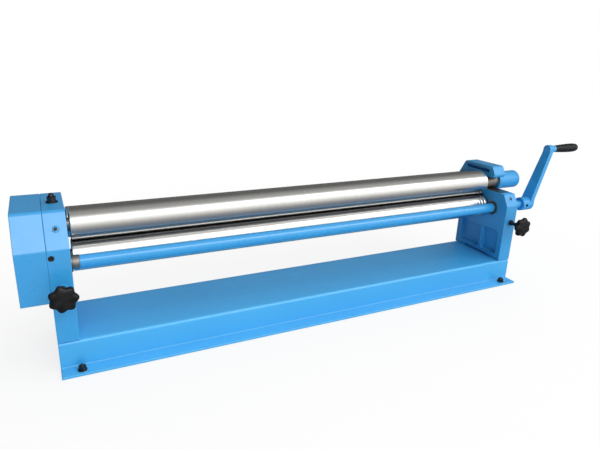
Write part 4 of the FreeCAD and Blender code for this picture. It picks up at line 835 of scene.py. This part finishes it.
adjuster_x, front_screw_z, front_hub_y = -0.659, 0.200, -0.13055
rear_tilt = math.radians(33.5)
rear_up = Vector((0, -math.sin(rear_tilt), math.cos(rear_tilt)))
rear_middle = Vector((adjuster_x, rear_y, rear_z))
screw_foot, screw_hub, spigot_length, knob_gap = 0.02605, 0.12641, 0.014, 0.00005
screw_radius, screw_root, spigot_radius, screw_pitch = 0.008, 0.0068, 0.004, 0.0025
collar_length, collar_relief, foot_chamfer = 0.0015, 0.0003, 0.001
thread_from, thread_to = 0.036, 0.124
screw_profile = [(screw_foot, 0.0), (screw_foot, screw_radius - foot_chamfer),
                 (screw_foot + foot_chamfer, screw_radius), (thread_from - 0.003, screw_radius),
                 (thread_from - 0.002, screw_root), (screw_hub - collar_length, screw_root),
                 (screw_hub - collar_length, screw_radius - collar_relief),
                 (screw_hub, screw_radius - collar_relief), (screw_hub, spigot_radius),
                 (screw_hub + spigot_length, spigot_radius), (screw_hub + spigot_length, 0.0)]
for side, mirrored in (("left", False), ("right", True)):
    shape = star_knob(Vector((adjuster_x, front_hub_y, front_screw_z)), Vector((0, -1, 0)),
                      mirrored)
    seat("front_star_knob_" + side, shape, [resin], "front_adjuster_" + side, "black_plastic",
         "front_knob_" + side)
    shape = star_knob(rear_middle - rear_up * (screw_hub + knob_gap), -rear_up, mirrored)
    seat("rear_star_knob_" + side, shape, [resin], "rear_adjuster_" + side, "black_plastic",
         "rear_knob_" + side)
    shape = bmesh.new()
    turn(shape, screw_profile, rear_middle, -rear_up, 48)
    thread_ridge(shape, rear_middle, -rear_up, thread_from, thread_to, screw_radius,
                 screw_radius - screw_root, screw_pitch)
    if mirrored:
        bmesh.ops.scale(shape, vec=(-1, 1, 1), verts=shape.verts)
        bmesh.ops.recalc_face_normals(shape, faces=shape.faces)
    seat("rear_lift_screw_" + side, shape, [turned_steel], "rear_adjuster_" + side,
         "machined_steel", "rear_screw_" + side)

# ---- floor, light and camera ------------------------------------------------------------
# A plain pale floor that fades into a white room, with one long soft lamp in front and above.
# The room lights the right side more than the left, and polished steel mirrors a room that is
# bright in front and dark behind, as in a workshop. The floor that polished steel mirrors is a
# painted reflection: a glow bright in front and dark near and behind the machine.


def colour_ramp(tree, share, low, high, stops):
    """A ramp over a socket of 0..1; each stop's place is given between low and high."""
    ramp = put(tree, "ValToRGB")
    tree.links.new(share, ramp.inputs[0])
    marks = ramp.color_ramp.elements
    for step, (place, colour) in enumerate(stops):
        mark = marks[step] if step < 2 else marks.new(1.0)
        mark.position = (place - low) / (high - low)
        mark.color = (*colour, 1)
    return ramp.outputs[0]


paper, tree, shader = start_material("pale floor", {"Roughness": 0.9,
                                                    "Base Color": (0.86, 0.86, 0.86, 1)})
seen = put(tree, "LightPath").outputs
place = put(tree, "TexCoord").outputs["Object"]
away = put(tree, "VectorMath", {"operation": "LENGTH"})
tree.links.new(place, away.inputs[0])
fade = span(tree, away.outputs["Value"], low=0.6, high=1.5, start=0.8, end=1.0)
fade = math_node(tree, "MAXIMUM", fade, seen["Is Glossy Ray"])
through = math_node(tree, "MAXIMUM", seen["Is Glossy Ray"], seen["Is Transmission Ray"])
watched = math_node(tree, "MAXIMUM", seen["Is Camera Ray"], through)
depth = put(tree, "SeparateXYZ")
tree.links.new(place, depth.inputs[0])
front, back = -3.0, 1.0
# Painted reflection: for glossy rays the floor glows this ramp, dark near the machine.
painted_floor_reflection = colour_ramp(
    tree, span(tree, depth.outputs[1], front, back), front, back,
    ((-3.0, (0.62, 0.61, 0.59)), (-1.5, (0.50, 0.49, 0.46)), (-0.7, (0.31, 0.31, 0.31)),
     (-0.35, (0.15, 0.19, 0.25)), (0.0, (0.09, 0.13, 0.19)), (1.0, (0.09, 0.09, 0.085))))
glow = put(tree, "Emission", None, {"Strength": 1.0})
tree.links.new(blend_colour(tree, seen["Is Glossy Ray"], (1, 1, 1, 1), painted_floor_reflection),
               glow.inputs["Color"])
both = put(tree, "MixShader")
tree.links.new(times(tree, fade, watched), both.inputs[0])
tree.links.new(shader.outputs[0], both.inputs[1])
tree.links.new(glow.outputs[0], both.inputs[2])
tree.links.new(both.outputs[0], tree.nodes["Material Output"].inputs[0])
floor_top, floor_radius = -0.0004, 14.0
shape = bmesh.new()
bmesh.ops.create_circle(shape, cap_ends=True, segments=96, radius=floor_radius,
                        matrix=Matrix.Translation((0, 0, floor_top)))
mesh = bpy.data.meshes.new("floor")
shape.to_mesh(mesh)
shape.free()
floor = bpy.data.objects.new("floor", mesh)
bpy.context.scene.collection.objects.link(floor)
mesh.materials.append(paper)

world = bpy.data.worlds.new("room")
bpy.context.scene.world = world
world.use_nodes = True
tree = world.node_tree
sky = tree.nodes["Background"]
direction = put(tree, "SeparateXYZ")
tree.links.new(put(tree, "TexCoord").outputs["Generated"], direction.inputs[0])
sideways, backwards, upwards = direction.outputs
climb = math_node(tree, "ARCTAN2", upwards, times(tree, backwards, -1.0))
lowest, highest = -20, 200
turned_share = span(tree, climb, math.radians(lowest), math.radians(highest))


def room_ramp(stops):
    """Grey room seen by how far the view climbs from the front, over the top, to the back."""
    return colour_ramp(tree, turned_share, lowest, highest,
                       [(degrees, (grey, grey, grey * 0.985)) for degrees, grey in stops])


mirrored_room = room_ramp(((-18, 0.62), (0, 0.66), (12, 1.0), (51, 1.0), (60, 0.70), (69, 0.40),
                           (78, 0.29), (90, 0.31), (102, 0.23), (118, 0.13), (132, 0.093),
                           (198, 0.09)))
lit_room = room_ramp(((-18, 0.8), (50, 0.8), (75, 1.0), (110, 1.0), (160, 0.6), (198, 0.6)))
side_light = span(tree, sideways, low=-0.6, high=0.35, start=0.04, end=1.6)
side_shade = span(tree, sideways, low=-0.6, high=-0.05, start=0.25, end=1.0)
lit_room = blend_colour(tree, 1.0, lit_room, side_light, "MULTIPLY")
mirrored_room = blend_colour(tree, 1.0, mirrored_room, side_shade, "MULTIPLY")
seen = put(tree, "LightPath").outputs
room = blend_colour(tree, seen["Is Glossy Ray"], lit_room, mirrored_room)
tree.links.new(blend_colour(tree, seen["Is Camera Ray"], room, (1, 1, 1, 1)),
               sky.inputs["Color"])
sky.inputs["Strength"].default_value = 1.0

lamp_data = bpy.data.lights.new("long front lamp", "AREA")
lamp_data.shape = "RECTANGLE"
lamp_data.size, lamp_data.size_y = 5.2, 1.15
lamp_data.energy = 52
lamp = bpy.data.objects.new("long front lamp", lamp_data)
lamp_place, lamp_aim = Vector((0.6, -2.4, 2.3)), Vector((0.1, 0, 0.25))
lamp.location = lamp_place
lamp.rotation_euler = (lamp_aim - lamp_place).to_track_quat("-Z", "Y").to_euler()
bpy.context.scene.collection.objects.link(lamp)

lens_data = bpy.data.cameras.new("camera")
lens_data.lens = 31.96
lens_data.sensor_width = 36.0
camera = bpy.data.objects.new("camera", lens_data)
bpy.context.scene.collection.objects.link(camera)
camera.matrix_world = Matrix(((0.89910016, 0.11117543, -0.42338981, -0.66855),
                              (-0.43633557, 0.30511116, -0.84647412, -1.25480),
                              (0.03507383, 0.94580505, 0.32283529, 0.72093), (0, 0, 0, 1)))
bpy.context.scene.camera = camera
bpy.context.scene.view_settings.view_transform = "Standard"
